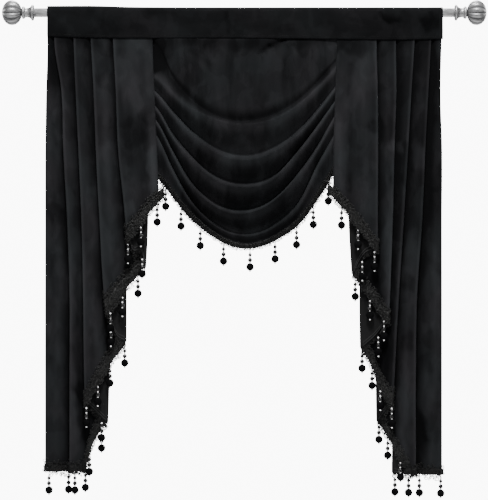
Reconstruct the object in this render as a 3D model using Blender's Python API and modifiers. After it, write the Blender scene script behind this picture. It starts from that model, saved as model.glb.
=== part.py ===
"""A black velvet window valance on its curtain rod.

A header with a rod pocket carries a draped swag in the middle and a pleated cascade tail at
each side. A braid with hanging bead drops follows the lower edge of the swag and of both tails.
The origin is the middle of the rod's axis, X runs along the rod and -Y faces the room.
Sizes in the tables are millimetres; "out" is the distance from the middle of the valance,
"down" the distance below the rod's axis, and "back" the Y coordinate, negative towards the room.
"""

import math
from collections import namedtuple

import bmesh
import bpy
import numpy as np
from mathutils import Matrix, Vector
from mathutils.bvhtree import BVHTree

MM = 0.001
SEAM_GAP = 0.3

# The rod and its finials.
ROD_RADIUS = 12.5
ROD_HALF_LENGTH = 589
ROD_SIDES = 24
MELON_RADIUS = 35.5
MELON_HALF_LENGTH = 28
MELON_RIBS = 12
MELON_GROOVE = 0.88
MELON_RINGS = 9

# The cloth.
CLOTH = 1.8
SWAG_CLOTH = 2.0
BAND_CLOTH = 2.0
LEFT, RIGHT = -1, 1

# The header: a strip folded over the rod, its front layer lapping over the tails. It goes round
# the rod from the front over the top to just under its back. Its back layer hangs close behind
# the swag in the middle and, past the swag's gathers, further back behind the layers of the tails.
BAND_CUFF_RADIUS = 14.1
BAND_CUFF_DEGREES = np.arange(180, -23, -22.5)
BAND_FRONT = -16
BAND_FRONT_AT_ROD = -15.1
BAND_ROD_DOWN = 20
BAND_MIDDLE_SHARE = 0.6
BAND_UNDER_ROD = 9.5
BAND_UNDER_ROD_DOWN = 22
BAND_BACK_SHARE = 0.4
BAND_BACK_AT_TAILS = 0.4
BAND_BACK_AT_SWAG = -10.7
BAND_BACK_SWAG_HALF = 175
BAND_BACK_STEP = 70
BAND_BACK_BEND_DOWN = 46
BAND_BACK_DOWN = 66
BAND_SPANS = 18
BandStation = namedtuple("BandStation", "x lift down")
BAND = (
    BandStation(-551, 4.0, 68),
    BandStation(-500, 4.2, 70),
    BandStation(-412, 4.0, 72),
    BandStation(-340, 1.6, 73),
    BandStation(-200, 0.2, 73),
    BandStation(0, 0.0, 73),
    BandStation(200, 0.2, 75),
    BandStation(330, 0.1, 77),
    BandStation(410, 0.3, 78),
    BandStation(480, 0.1, 77),
    BandStation(555, 0.4, 76),
)

# The tails: each is one sheet that runs from its free inner edge to the outer edge of the
# valance, back and forth through four knife pleats. Odd lines are the folds that face the room
# and even lines the hidden folds behind them. "hem" is how far down the braid's edge lies.
TAIL_TOP = 50
TAIL_BELOW_BAND = 80
TAIL_DOWNS = (50, 90, 216, 384, 580, 804, 1028, 1266)
TAIL_BOTTOM = {LEFT: 1284, RIGHT: 1293}
TailLine = namedtuple("TailLine", "name hem outs")
TAIL_LINES = {
    LEFT: (
        TailLine("inner edge", 531, (256, 256, 251, 244, 236, 233, 233, 233)),
        TailLine("front fold 1", 643, (368, 366, 359, 352, 332, 322, 322, 322)),
        TailLine("hidden fold 1", 719, (273, 273, 272, 271, 269, 279, 282, 282)),
        TailLine("front fold 2", 849, (430, 428, 421, 414, 404, 390, 362, 360)),
        TailLine("hidden fold 2", 933, (342, 342, 340, 336, 333, 330, 331, 331)),
        TailLine("front fold 3", 1098, (477, 476, 471, 463, 454, 449, 446, 438)),
        TailLine("hidden fold 3", 1155, (393, 393, 390, 387, 384, 379, 378, 385)),
        TailLine("front fold 4", 1450, (531, 530, 511, 505, 494, 487, 487, 487)),
        TailLine("hidden fold 4", 1450, (454, 454, 452, 449, 446, 443, 442, 442)),
        TailLine("outer edge", 1450, (551, 550, 553, 555, 555, 555, 555, 555)),
    ),
    RIGHT: (
        TailLine("inner edge", 520, (258, 258, 254, 249, 248, 248, 248, 248)),
        TailLine("front fold 1", 670, (369, 369, 372, 373, 372, 372, 372, 372)),
        TailLine("hidden fold 1", 740, (291, 291, 292, 292, 292, 304, 306, 306)),
        TailLine("front fold 2", 869, (423, 423, 424, 419, 414, 406, 396, 392)),
        TailLine("hidden fold 2", 947, (330, 330, 330, 328, 326, 323, 326, 326)),
        TailLine("front fold 3", 1101, (477, 475, 467, 457, 445, 431, 419, 408)),
        TailLine("hidden fold 3", 1152, (383, 383, 381, 380, 377, 373, 370, 374)),
        TailLine("front fold 4", 1318, (523, 521, 514, 505, 496, 481, 478, 478)),
        TailLine("hidden fold 4", 1318, (437, 436, 433, 430, 426, 422, 418, 414)),
        TailLine("outer edge", 1318, (552, 551, 548, 552, 551, 551, 551, 551)),
    ),
}
# Where a hem hangs in a curve: how far it has fallen at shares of the way across its layer.
HemBend = namedtuple("HemBend", "across fallen")
HEM_BENDS = {
    (LEFT, 1): HemBend((0, 0.2, 0.85, 1), (0, 0.36, 0.6, 1)),
    (LEFT, 3): HemBend((0, 0.25, 1), (0, 0.55, 1)),
    (LEFT, 4): HemBend((0, 0.7, 1), (0, 0.66, 1)),
    (LEFT, 6): HemBend((0, 0.15, 0.45, 0.6, 1), (0, 0.06, 0.26, 0.46, 1)),
    (RIGHT, 0): HemBend((0, 0.55, 1), (0, 0.52, 1)),
    (RIGHT, 1): HemBend((0, 0.37, 0.65, 1), (0, 0.1, 0.37, 1)),
    (RIGHT, 3): HemBend((0, 0.35, 1), (0, 0.46, 1)),
    (RIGHT, 4): HemBend((0, 0.34, 0.61, 1), (0, 0.34, 0.69, 1)),
    (RIGHT, 6): HemBend((0, 0.27, 0.59, 1), (0, 0.24, 0.57, 1)),
}
# How far forward the front layer hangs and how far apart the layers lie, going down. A layer
# comes forward past each pleat's front fold: it starts PLEAT_CLEAR past it, over PLEAT_RAMP.
TAIL_FRONT = (-13.8, -13.8, -17, -21, -24, -26, -27, -28)
TAIL_PITCH = (2.8, 3.0, 4.4, 5.8, 7.0, 8.0, 8.4, 8.6)
TAIL_ROWS = 7
PANEL_SPANS = 4
FOLD_SPANS = 3
LINE_GAP = 1.6
PLEAT_CLEAR = 2
PLEAT_RAMP = 16
# Each panel swells a little between its folds, and the free inner edge turns back. Both grow
# below LOOSE_FROM, over LOOSE_OVER.
LOOSE_FROM = 100
LOOSE_OVER = 500
PANEL_SWELL = 3
INNER_EDGE_TURN = 6
INNER_EDGE_SHARE = 0.28

# The swag: one sheet in catenary folds, stacked like rolls. The lip of each roll stands forward,
# its face drops and turns back under into a valley, where the next lip comes out. Each row of
# the tables follows one line from the left edge to the right one: how far down it lies at each
# of SWAG_X, and how far back at the edge, at the quarter and in the middle.
SWAG_X = (-263, -242, -202, -152, -96, 2, 86, 156, 206, 251, 264)
SWAG_BACK_X = (SWAG_X[0], SWAG_X[3], SWAG_X[5], SWAG_X[7], SWAG_X[-1])
SwagRow = namedtuple("SwagRow", "name spans edge quarter middle downs")
SWAG_TOP = (
    SwagRow("top", 0, -11.2, -13.3, -13.5, (50, 50, 50, 50, 50, 50, 50, 50, 50, 50, 50)),
    SwagRow("lap", 2, -11.0, -13.1, -13.3, (66, 72, 86, 92, 94, 94, 92, 88, 82, 74, 70)),
    SwagRow("valley 0", 3, -5, -5, -4, (78, 92, 168, 230, 274, 298, 276, 234, 186, 137, 121)),
)
SWAG_LIPS = (
    SwagRow("lip 1", 2, -10, -25, -29, (168, 183, 225, 267, 295, 314, 298, 256, 211, 163, 150)),
    SwagRow("lip 2", 2, -10, -27, -32, (215, 233, 281, 337, 384, 415, 390, 337, 278, 219, 202)),
    SwagRow("lip 3", 2, -10, -28, -34, (254, 275, 345, 407, 460, 491, 466, 387, 320, 256, 238)),
    SwagRow("lip 4", 2, -10, -28, -34, (288, 312, 390, 480, 536, 564, 527, 452, 379, 298, 278)),
    SwagRow("lip 5", 2, -9, -24, -17, (330, 354, 440, 528, 588, 628, 603, 536, 429, 348, 322)),
)
SWAG_HEM = SwagRow("hem", 2, -4, -14, -18, (440, 449, 494, 556, 606, 649, 624, 570, 500, 430, 416))
VALLEY_SHARE = 0.8
VALLEY_SPANS = 3
VALLEY_BACK = (-4, -7, -9)
SWAG_COLUMNS = 24
FACE_ROUND = 1.9

# The braid and its drops.
BRAID_WIDTH = 27
SWAG_BRAID_WIDTH = 13
BRAID_SEAM = 0.95
BRAID_LEAN = 0.25
BRAID_TIP = 17
BRAID_TIP_RISE = 9
DROP_LENGTH = 51
DROP_ROOT = 5
DROP_CLEAR = 1
DROP_SIDES = 6
BALL_RADIUS = 10
DropRing = namedtuple("DropRing", "below radius")
DROP_PROFILE = (
    DropRing(0, 1.2),
    DropRing(25, 1.2),
    DropRing(33, 5.2),
    DropRing(40, 1.2),
    DropRing(48, 6.6),
    DropRing(DROP_ROOT + DROP_LENGTH, BALL_RADIUS),
    DropRing(64, 6.6),
)
# Where the drops hang: on the swag by x, and on the tails by layer, counted from the inner
# edge with the returns between the panels, and out.
SWAG_DROPS = (-220, -177, -123, -58, 16, 86, 146, 193, 235)
TAIL_DROPS = {
    LEFT: {
        0: (243, 288, 324),
        1: (285,),
        2: (297, 340, 373),
        3: (372,),
        4: (335, 375, 408, 440),
        5: (398,),
        6: (399, 432, 444, 472),
        8: (491, 544),
    },
    RIGHT: {
        0: (271, 317, 363),
        1: (329,),
        2: (310, 351, 390),
        3: (375,),
        4: (330, 358, 381, 412),
        5: (378,),
        6: (402, 435),
        8: (422, 459, 489, 547),
    },
}

Look = namedtuple("Look", "color roughness metallic")
LOOKS = {
    "black_velvet": Look((0.012, 0.012, 0.014, 1), 0.9, 0.0),
    "black_braid": Look((0.006, 0.006, 0.007, 1), 0.7, 0.0),
    "pewter": Look((0.36, 0.36, 0.37, 1), 0.35, 1.0),
}


def clear_scene():
    for obj in list(bpy.data.objects):
        bpy.data.objects.remove(obj, do_unlink=True)


def new_collection(name):
    collection = bpy.data.collections.new(name)
    bpy.context.scene.collection.children.link(collection)
    return collection


def material(name):
    look = LOOKS[name]
    made = bpy.data.materials.get(name) or bpy.data.materials.new(name)
    made.use_nodes = True
    shader = made.node_tree.nodes["Principled BSDF"]
    shader.inputs["Base Color"].default_value = look.color
    shader.inputs["Roughness"].default_value = look.roughness
    shader.inputs["Metallic"].default_value = look.metallic
    made.diffuse_color = look.color
    return made


def add_object(name, mesh, look, collection):
    obj = bpy.data.objects.new(name, mesh)
    mesh.materials.append(material(look))
    collection.objects.link(obj)
    return obj


def flow(at, knots, values):
    """The height of a smooth curve through the knots, level past both ends."""
    knots = np.asarray(knots, float)
    values = np.asarray(values, float)
    slopes = np.gradient(values, knots)
    at = np.clip(at, knots[0], knots[-1])
    i = np.clip(np.searchsorted(knots, at, side="right") - 1, 0, len(knots) - 2)
    span = knots[i + 1] - knots[i]
    t = (at - knots[i]) / span
    ends = values[i] * (1 + 2 * t) * (1 - t) ** 2 + values[i + 1] * t**2 * (3 - 2 * t)
    return ends + span * (slopes[i] * t * (1 - t) ** 2 - slopes[i + 1] * t**2 * (1 - t))


def smooth_step(t):
    t = np.clip(t, 0, 1)
    return t * t * (3 - 2 * t)


def sheet_mesh(name, grid):
    """An open surface over a grid of points, columns of rows, in millimetres."""
    columns, rows = len(grid), len(grid[0])
    points = [Vector(point) * MM for column in grid for point in column]
    faces = [
        (i * rows + j, i * rows + j + 1, (i + 1) * rows + j + 1, (i + 1) * rows + j)
        for i in range(columns - 1)
        for j in range(rows - 1)
    ]
    mesh = bpy.data.meshes.new(name)
    mesh.from_pydata(points, [], faces)
    mesh.shade_smooth()
    return mesh


def add_cloth(name, grid, thickness, look, collection):
    """A sheet of cloth: the surface over the grid, given half its thickness to each side."""
    obj = add_object(name, sheet_mesh(name, grid), look, collection)
    solidify = obj.modifiers.new("thickness", "SOLIDIFY")
    solidify.thickness = thickness * MM
    solidify.offset = 0
    return obj


def tail_outs(side, down):
    return [flow(down, TAIL_DOWNS, line.outs) for line in TAIL_LINES[side]]


def tail_back(layer, out, down, outs):
    """How far back a layer lies: behind every pleat whose front fold reaches past it."""
    rank = layer % 2
    for fold in range(1, layer, 2):
        past = (out - outs[fold] - PLEAT_CLEAR) / PLEAT_RAMP
        rank += 2 * (1 - smooth_step(past))
    front = flow(down, TAIL_DOWNS, TAIL_FRONT)
    return front + rank * flow(down, TAIL_DOWNS, TAIL_PITCH)


def layer_places(side, layer, down):
    """How far out a layer's lines of points lie: its ends, and where it passes behind a pleat."""
    outs = tail_outs(side, down)
    radius = flow(down, TAIL_DOWNS, TAIL_PITCH) / 2
    outward = 1 if layer % 2 == 0 else -1
    start = outs[layer] + outward * radius * (layer > 0)
    end = outs[layer + 1] - outward * radius * (layer < len(outs) - 2)
    if layer == 0:
        return list(np.linspace(start, end, PANEL_SPANS + 1))
    if layer == 1:
        return [start, (start + end) / 2, end]
    folds = (layer - 3, layer - 1) if outward > 0 else (layer - 2,)
    marks = []
    for fold in folds:
        if fold > 0:
            marks += [outs[fold] + PLEAT_CLEAR, outs[fold] + PLEAT_CLEAR + PLEAT_RAMP]
    if outward > 0:
        marks.append((marks[-1] + end) / 2)
    places = [start, *marks[::outward], end]
    for i in range(1, len(places)):
        if (places[i] - places[i - 1]) * outward < LINE_GAP:
            places[i] = places[i - 1] + outward * LINE_GAP
    places[-1] = end
    for i in range(len(places) - 2, 0, -1):
        if (places[i + 1] - places[i]) * outward < LINE_GAP:
            places[i] = places[i + 1] - outward * LINE_GAP
    return places


def tail_columns(side):
    """(layer, place, turn) of each line of points: a place on a layer, or a turn of its fold."""
    last = len(TAIL_LINES[side]) - 2
    columns = []
    for layer in range(last + 1):
        places = len(layer_places(side, layer, TAIL_TOP))
        columns += [(layer, place, None) for place in range(places)]
        if layer < last:
            turns = [-90 + 180 * step / FOLD_SPANS for step in range(1, FOLD_SPANS)]
            columns += [(layer, places - 1, turn) for turn in turns]
    return columns


def tail_point(side, column, down):
    """A point of the tail's middle surface."""
    layer, place, turn = column
    outs = tail_outs(side, down)
    places = layer_places(side, layer, down)
    out = places[place]
    back = tail_back(layer, out, down, outs)
    loose = smooth_step((down - LOOSE_FROM) / LOOSE_OVER)
    if turn is not None:
        radius = flow(down, TAIL_DOWNS, TAIL_PITCH) / 2
        angle = math.radians(turn)
        outward = 1 if layer % 2 == 0 else -1
        back += radius * (1 + math.sin(angle))
        out += outward * radius * math.cos(angle)
    elif layer == 0:
        share = place / PANEL_SPANS
        turned = max(0, 1 - share / INNER_EDGE_SHARE) ** 2
        back += loose * (INNER_EDGE_TURN * turned - PANEL_SWELL * math.sin(math.pi * share))
    elif layer % 2 == 0 and place == len(places) - 2:
        back -= PANEL_SWELL * loose
    return (side * out, back, -down)


def hem_down(side, layer, share):
    """How far down the braid's edge lies at a share of the way across a layer."""
    near, far = TAIL_LINES[side][layer : layer + 2]
    bend = HEM_BENDS.get((side, layer))
    if bend:
        share = flow(share, bend.across, bend.fallen)
    return near.hem + share * (far.hem - near.hem)


def tail_hems(side, column):
    """How far down the cloth ends, and the braid starts and ends, at a line of points."""
    lines = TAIL_LINES[side]
    layer, place, _ = column
    hem = hem_down(side, layer, 0.5)
    for _ in range(4):
        places = layer_places(side, layer, hem)
        share = (places[place] - places[0]) / (places[-1] - places[0])
        hem = hem_down(side, layer, share)
    rises = []
    for start in range(len(lines) - 1):
        width = abs(lines[start + 1].outs[-1] - lines[start].outs[-1])
        rise = lines[start + 1].hem - lines[start].hem
        rises.append(math.hypot(rise, width) / width if hem < TAIL_BOTTOM[side] else 1)
    ahead = rises[min(layer + 1, len(rises) - 1)]
    behind = rises[max(layer - 1, 0)]
    before = (behind + rises[layer]) / 2
    after = (rises[layer] + ahead) / 2
    stretch = before + share * (after - before)
    hem = min(hem, TAIL_BOTTOM[side])
    cloth_hem = hem - BRAID_WIDTH * stretch
    return cloth_hem, cloth_hem + BRAID_SEAM * stretch, hem


def tail_grid(side):
    grid = []
    for column in tail_columns(side):
        hem = tail_hems(side, column)[0]
        downs = [TAIL_TOP, *np.linspace(TAIL_BELOW_BAND, hem, TAIL_ROWS + 1)]
        grid.append([tail_point(side, column, down) for down in downs])
    return grid


def tail_braid_grid(side):
    """The braid goes on from the cloth's edge, and its cut end sticks out at the inner edge."""
    grid = []
    for column in tail_columns(side):
        _, start, hem = tail_hems(side, column)
        downs = (start, (start + hem) / 2, hem)
        grid.append([tail_point(side, column, down) for down in downs])
    x, back, bottom = grid[0][2]
    tip = bottom + BRAID_TIP_RISE
    grid.insert(0, [(x - side * BRAID_TIP, back, tip + 2 * rise) for rise in (1, 0.5, 0)])
    return grid


def swag_rows():
    """The rows of the swag from its top to its hem, with a valley between each two lips."""
    rows = [*SWAG_TOP, SWAG_LIPS[0]]
    for upper, lower in zip(SWAG_LIPS, SWAG_LIPS[1:]):
        downs = [a + VALLEY_SHARE * (b - a) for a, b in zip(upper.downs, lower.downs)]
        rows += [SwagRow("valley", VALLEY_SPANS, *VALLEY_BACK, downs), lower]
    return [*rows, SWAG_HEM]


def swag_point(x, above, below, share):
    """A point between two rows of the swag."""
    down = flow(x, SWAG_X, above.downs) * (1 - share) + flow(x, SWAG_X, below.downs) * share
    backs = [
        flow(x, SWAG_BACK_X, (row.edge, row.quarter, row.middle, row.quarter, row.edge))
        for row in (above, below)
    ]
    bend = smooth_step(share) if backs[1] < backs[0] else share**FACE_ROUND
    return (x, backs[0] + bend * (backs[1] - backs[0]), -down)


def swag_grid():
    rows = swag_rows()
    grid = []
    for x in np.linspace(SWAG_X[0], SWAG_X[-1], SWAG_COLUMNS + 1):
        column = [swag_point(x, rows[0], rows[0], 0)]
        for above, below in zip(rows, rows[1:]):
            shares = np.arange(1, below.spans + 1) / below.spans
            column += [swag_point(x, above, below, share) for share in shares]
        grid.append(column)
    return grid


def swag_braid_grid(cloth_grid):
    """The braid goes on from the swag's hem, as wide across a steep hem as across a level one."""
    hems = [column[-1] for column in cloth_grid]
    slopes = np.gradient([hem[2] for hem in hems], [hem[0] for hem in hems])
    grid = []
    for column, slope in zip(cloth_grid, slopes):
        (_, back_above, height_above), (x, back, height) = column[-2:]
        lean = np.clip((back - back_above) / (height_above - height), -BRAID_LEAN, BRAID_LEAN)
        depth = SWAG_BRAID_WIDTH * math.hypot(1, slope)
        drops = (BRAID_SEAM * math.hypot(1, slope), depth)
        grid.append([(x, back + lean * drop, height - drop) for drop in drops])
    return grid


def drop_mesh():
    """One string of beads with its ball, turned about its own axis, its root at the origin."""
    shape = bmesh.new()
    profile = [shape.verts.new((ring.radius * MM, 0, -ring.below * MM)) for ring in DROP_PROFILE]
    edges = [shape.edges.new(pair) for pair in zip(profile, profile[1:])]
    bmesh.ops.spin(
        shape,
        geom=profile + edges,
        axis=(0, 0, 1),
        cent=(0, 0, 0),
        angle=math.tau,
        steps=DROP_SIDES,
    )
    bmesh.ops.remove_doubles(shape, verts=shape.verts, dist=1e-5)
    bmesh.ops.holes_fill(shape, edges=shape.edges, sides=DROP_SIDES)
    bmesh.ops.recalc_face_normals(shape, faces=shape.faces)
    mesh = bpy.data.meshes.new("drop")
    shape.to_mesh(mesh)
    shape.free()
    return mesh


def ball_back(root, cloths):
    """How far back the ball hangs: straight below its root, or resting on the cloth behind."""
    x, back, height = root
    reach = BALL_RADIUS + DROP_CLEAR
    for cloth in cloths:
        for shift_x in (-BALL_RADIUS, 0, BALL_RADIUS):
            for shift_z in (-BALL_RADIUS, 0, BALL_RADIUS, 2 * BALL_RADIUS):
                start = Vector((x + shift_x, -10 * reach, height - DROP_LENGTH + shift_z)) * MM
                hit = cloth.ray_cast(start, Vector((0, 1, 0)))[0]
                if hit is not None:
                    back = min(back, hit.y / MM - reach)
    return back


def add_drops(name, roots, cloths, collection):
    """All the drops of one braid in one helper mesh, each hung from its root."""
    source = drop_mesh()
    drops = bmesh.new()
    for x, back, height in roots:
        lean = ball_back((x, back, height), cloths) - back
        tilt = Matrix.Rotation(-math.atan2(lean, DROP_ROOT + DROP_LENGTH), 4, "X")
        place = Matrix.Translation(Vector((x, back, height + DROP_ROOT)) * MM)
        copy = source.copy()
        copy.transform(place @ tilt.inverted())
        drops.from_mesh(copy)
        bpy.data.meshes.remove(copy)
    mesh = bpy.data.meshes.new(name)
    drops.to_mesh(mesh)
    drops.free()
    bpy.data.meshes.remove(source)
    helper = add_object(name, mesh, "black_braid", collection)
    helper.hide_render = True
    helper.display_type = "WIRE"
    return helper


def fuse(obj, other):
    union = obj.modifiers.new("drops", "BOOLEAN")
    union.operation = "UNION"
    union.solver = "EXACT"
    union.object = other


def surface_tree(obj):
    """The evaluated surface of a cloth, for finding what lies behind a drop."""
    graph = bpy.context.evaluated_depsgraph_get()
    return BVHTree.FromObject(obj, graph)


def lower_edge(columns, places):
    """Points on the lower edge of a run of columns at the given places along X."""
    edge = sorted(column[-1] for column in columns)
    x, back, height = zip(*edge)
    return [
        (place, float(np.interp(place, x, back)), float(np.interp(place, x, height)))
        for place in places
    ]


def tail_roots(side, braid_grid):
    """Where the drops of a tail leave its braid."""
    columns = list(zip(tail_columns(side), braid_grid[1:]))
    roots = []
    for layer, outs in TAIL_DROPS[side].items():
        run = [points for column, points in columns if column[0] == layer]
        roots += lower_edge(run, [side * out for out in outs])
    return roots


def add_tail(name, side, collection, helpers):
    """A tail and its braid with drops."""
    cloth = add_cloth(f"tail_{name}", tail_grid(side), CLOTH, "black_velvet", collection)
    grid = tail_braid_grid(side)
    braid = add_cloth(f"tail_trim_{name}", grid, CLOTH, "black_braid", collection)
    behind = [surface_tree(cloth), surface_tree(braid)]
    drops = add_drops(f"tail_drops_{name}", tail_roots(side, grid), behind, helpers)
    fuse(braid, drops)


def add_swag(collection, helpers):
    """The swag and its braid with drops."""
    grid = swag_grid()
    add_cloth("swag_panel", grid, SWAG_CLOTH, "black_velvet", collection)
    braid_grid = swag_braid_grid(grid)
    braid = add_cloth("swag_trim", braid_grid, SWAG_CLOTH, "black_braid", collection)
    roots = lower_edge(braid_grid, SWAG_DROPS)
    drops = add_drops("swag_drops", roots, [], helpers)
    fuse(braid, drops)


def band_back(x):
    """How far back the header's back layer hangs."""
    at_tails = smooth_step((abs(x) - BAND_BACK_SWAG_HALF) / BAND_BACK_STEP)
    return BAND_BACK_AT_SWAG + at_tails * (BAND_BACK_AT_TAILS - BAND_BACK_AT_SWAG)


def band_section(lift, bottom, back):
    """(back, height) of the header's section: up the front, over the rod, down the back."""
    section = [
        (BAND_FRONT, -bottom),
        (BAND_FRONT, -bottom * BAND_MIDDLE_SHARE),
        (BAND_FRONT_AT_ROD, -BAND_ROD_DOWN),
    ]
    for degrees in BAND_CUFF_DEGREES:
        angle = math.radians(degrees)
        radius = BAND_CUFF_RADIUS + (lift if degrees > 0 else 0)
        section.append((BAND_CUFF_RADIUS * math.cos(angle), radius * math.sin(angle)))
    section += [
        (back * BAND_BACK_SHARE + BAND_UNDER_ROD, -BAND_UNDER_ROD_DOWN),
        (back, -BAND_BACK_BEND_DOWN),
        (back, -BAND_BACK_DOWN),
    ]
    return section


def band_grid():
    places = [station.x for station in BAND]
    lifts = [station.lift for station in BAND]
    bottoms = [station.down for station in BAND]
    grid = []
    for x in np.linspace(BAND[0].x, BAND[-1].x, BAND_SPANS + 1):
        lift = max(flow(x, places, lifts), 0)
        section = band_section(lift, flow(x, places, bottoms), band_back(x))
        grid.append([(x, y, z) for y, z in section])
    return grid


def add_header(collection):
    add_cloth("header_band", band_grid(), BAND_CLOTH, "black_velvet", collection)


def lay_along_x(mesh):
    mesh.transform(Matrix.Rotation(math.pi / 2, 4, "Y"))


def add_rod(collection):
    shape = bmesh.new()
    bmesh.ops.create_cone(
        shape,
        cap_ends=True,
        segments=ROD_SIDES,
        radius1=ROD_RADIUS * MM,
        radius2=ROD_RADIUS * MM,
        depth=2 * ROD_HALF_LENGTH * MM,
    )
    mesh = bpy.data.meshes.new("rod")
    shape.to_mesh(mesh)
    shape.free()
    lay_along_x(mesh)
    add_object("rod", mesh, "pewter", collection)


CollarRing = namedtuple("CollarRing", "past radius")
COLLAR = (
    CollarRing(0, 20.5),
    CollarRing(2.5, 22.3),
    CollarRing(6, 22.3),
    CollarRing(8, 19.5),
    CollarRing(13, 14.2),
    CollarRing(20, 12.6),
    CollarRing(25.5, 14.6),
    CollarRing(27.5, 17.2),
    CollarRing(31.5, 17.2),
    CollarRing(33, 15),
)
COLLAR_STEPS = 20


def add_collar(name, side, collection):
    """The turned neck between the rod and its melon, profile from the rod outwards."""
    start = ROD_HALF_LENGTH + SEAM_GAP
    profile = [(0, COLLAR[0].past)]
    profile += [(ring.radius, ring.past) for ring in COLLAR]
    profile += [(0, COLLAR[-1].past)]
    mesh = bpy.data.meshes.new(f"finial_collar_{name}")
    points = [(radius * MM, 0, -past * MM) for radius, past in profile]
    edges = [(i, i + 1) for i in range(len(points) - 1)]
    mesh.from_pydata(points, edges, [])
    collar = add_object(f"finial_collar_{name}", mesh, "pewter", collection)
    screw = collar.modifiers.new("turn", "SCREW")
    screw.axis = "Z"
    screw.steps = COLLAR_STEPS
    screw.render_steps = COLLAR_STEPS
    screw.use_merge_vertices = True
    screw.merge_threshold = 1e-5
    collar.rotation_euler = (0, -side * math.pi / 2, 0)
    collar.location = (side * start * MM, 0, 0)


def add_melon(name, side, collection):
    """The ribbed ball: a sphere drawn in along every other meridian and flattened on its axis."""
    shape = bmesh.new()
    bmesh.ops.create_uvsphere(
        shape, u_segments=2 * MELON_RIBS, v_segments=MELON_RINGS, radius=MELON_RADIUS * MM
    )
    for vert in shape.verts:
        around = math.atan2(vert.co.y, vert.co.x)
        groove = (1 + math.cos(MELON_RIBS * around)) / 2
        vert.co.xy *= 1 - groove * (1 - MELON_GROOVE)
        vert.co.z *= MELON_HALF_LENGTH / MELON_RADIUS
    mesh = bpy.data.meshes.new(f"finial_melon_{name}")
    shape.to_mesh(mesh)
    shape.free()
    lay_along_x(mesh)
    reach = ROD_HALF_LENGTH + SEAM_GAP + COLLAR[-1].past + SEAM_GAP + MELON_HALF_LENGTH
    melon = add_object(f"finial_melon_{name}", mesh, "pewter", collection)
    melon.location = (side * reach * MM, 0, 0)


def main():
    clear_scene()
    parts = new_collection("window_valance")
    helpers = new_collection("helpers")
    add_rod(parts)
    for name, side in (("left", LEFT), ("right", RIGHT)):
        add_collar(name, side, parts)
        add_melon(name, side, parts)
        add_tail(name, side, parts, helpers)
    add_swag(parts, helpers)
    add_header(parts)


main()
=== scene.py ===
# %% [markdown]
# # A black velvet window valance on its curtain rod
#
# The valance has a header with a rod pocket, a swag in the middle and a pleated cascade tail at
# each side. A looped braid with hanging beads follows the lower edges. The measured model is
# loaded first and stays fixed: every piece made here lies on the sizes of that model.

# %% Load the frame
import math
import random
from collections import namedtuple

import bmesh
import bpy
import numpy as np
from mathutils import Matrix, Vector


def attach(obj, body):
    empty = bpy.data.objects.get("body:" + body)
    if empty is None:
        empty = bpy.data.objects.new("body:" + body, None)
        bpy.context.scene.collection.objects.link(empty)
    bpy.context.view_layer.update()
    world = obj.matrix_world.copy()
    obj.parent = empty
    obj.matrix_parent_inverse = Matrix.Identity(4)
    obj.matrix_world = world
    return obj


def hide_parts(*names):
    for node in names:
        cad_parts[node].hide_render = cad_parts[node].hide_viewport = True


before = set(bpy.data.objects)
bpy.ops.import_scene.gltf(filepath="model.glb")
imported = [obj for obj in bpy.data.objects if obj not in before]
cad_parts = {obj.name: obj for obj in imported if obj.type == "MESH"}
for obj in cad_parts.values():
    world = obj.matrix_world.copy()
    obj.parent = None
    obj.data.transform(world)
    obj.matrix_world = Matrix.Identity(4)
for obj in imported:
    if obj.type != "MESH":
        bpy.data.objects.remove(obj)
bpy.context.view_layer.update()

MM = 0.001
LEFT, RIGHT = -1, 1

# %% [markdown]
# ## Camera
#
# The valance is seen straight from the front, with hardly any perspective. A long lens from far
# away gives that. The lens is worked out from the height of the picture on the valance, so the
# numbers stay readable.

# %% Camera
PICTURE_HEIGHT = 1.4
CAMERA_DISTANCE = 6.0
SENSOR_MM = 36
PICTURE_CENTRE = (-0.0008, -0.6645)

camera_data = bpy.data.cameras.new("front_view")
camera_data.sensor_width = SENSOR_MM
camera_data.lens = CAMERA_DISTANCE * SENSOR_MM / PICTURE_HEIGHT
camera = bpy.data.objects.new("front_view", camera_data)
camera.location = (PICTURE_CENTRE[0], -CAMERA_DISTANCE, PICTURE_CENTRE[1])
camera.rotation_euler = (math.pi / 2, 0, 0)
bpy.context.scene.collection.objects.link(camera)
bpy.context.scene.camera = camera
print("lens", round(camera_data.lens, 1), "mm")

# %% [markdown]
# ## Floor and light
#
# Velvet shows its folds by soft light from above and in front: the pile glows where it is seen
# edge on and stays dark where it is seen from the tip. Large lamps keep the shadows soft, and
# three more stand behind, so that the back and the sides can be seen as well.

# %% Floor and light
FLOOR_DOWN = 2.2
FLOOR_SIZE = 5
WHITE = (1, 1, 1, 1)
AMBIENT = 0.38
BACKGROUND = 10
LAMPS_AIM = (0, 0, -0.6)
Lamp = namedtuple("Lamp", "name place size power")
LAMPS = (
    Lamp("key_lamp", (0, -2.1, 3.1), 0.8, 620),
    Lamp("left_lamp", (-3.0, -3.0, 0.2), 1.2, 45),
    Lamp("right_lamp", (3.0, -3.0, 0.2), 1.2, 45),
    Lamp("back_lamp", (0, 2.2, 2.9), 1.0, 400),
    Lamp("back_left_lamp", (-3.2, 1.6, 0.6), 1.0, 80),
    Lamp("back_right_lamp", (3.2, 1.6, 0.6), 1.0, 80),
)


def add_lamp(name, place, aim, size, power):
    """A square soft lamp that faces its aim."""
    data = bpy.data.lights.new(name, "AREA")
    data.shape = "SQUARE"
    data.size = size
    data.energy = power
    lamp = bpy.data.objects.new(name, data)
    lamp.location = place
    lamp.rotation_euler = (Vector(aim) - Vector(place)).to_track_quat("-Z", "Y").to_euler()
    bpy.context.scene.collection.objects.link(lamp)


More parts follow.
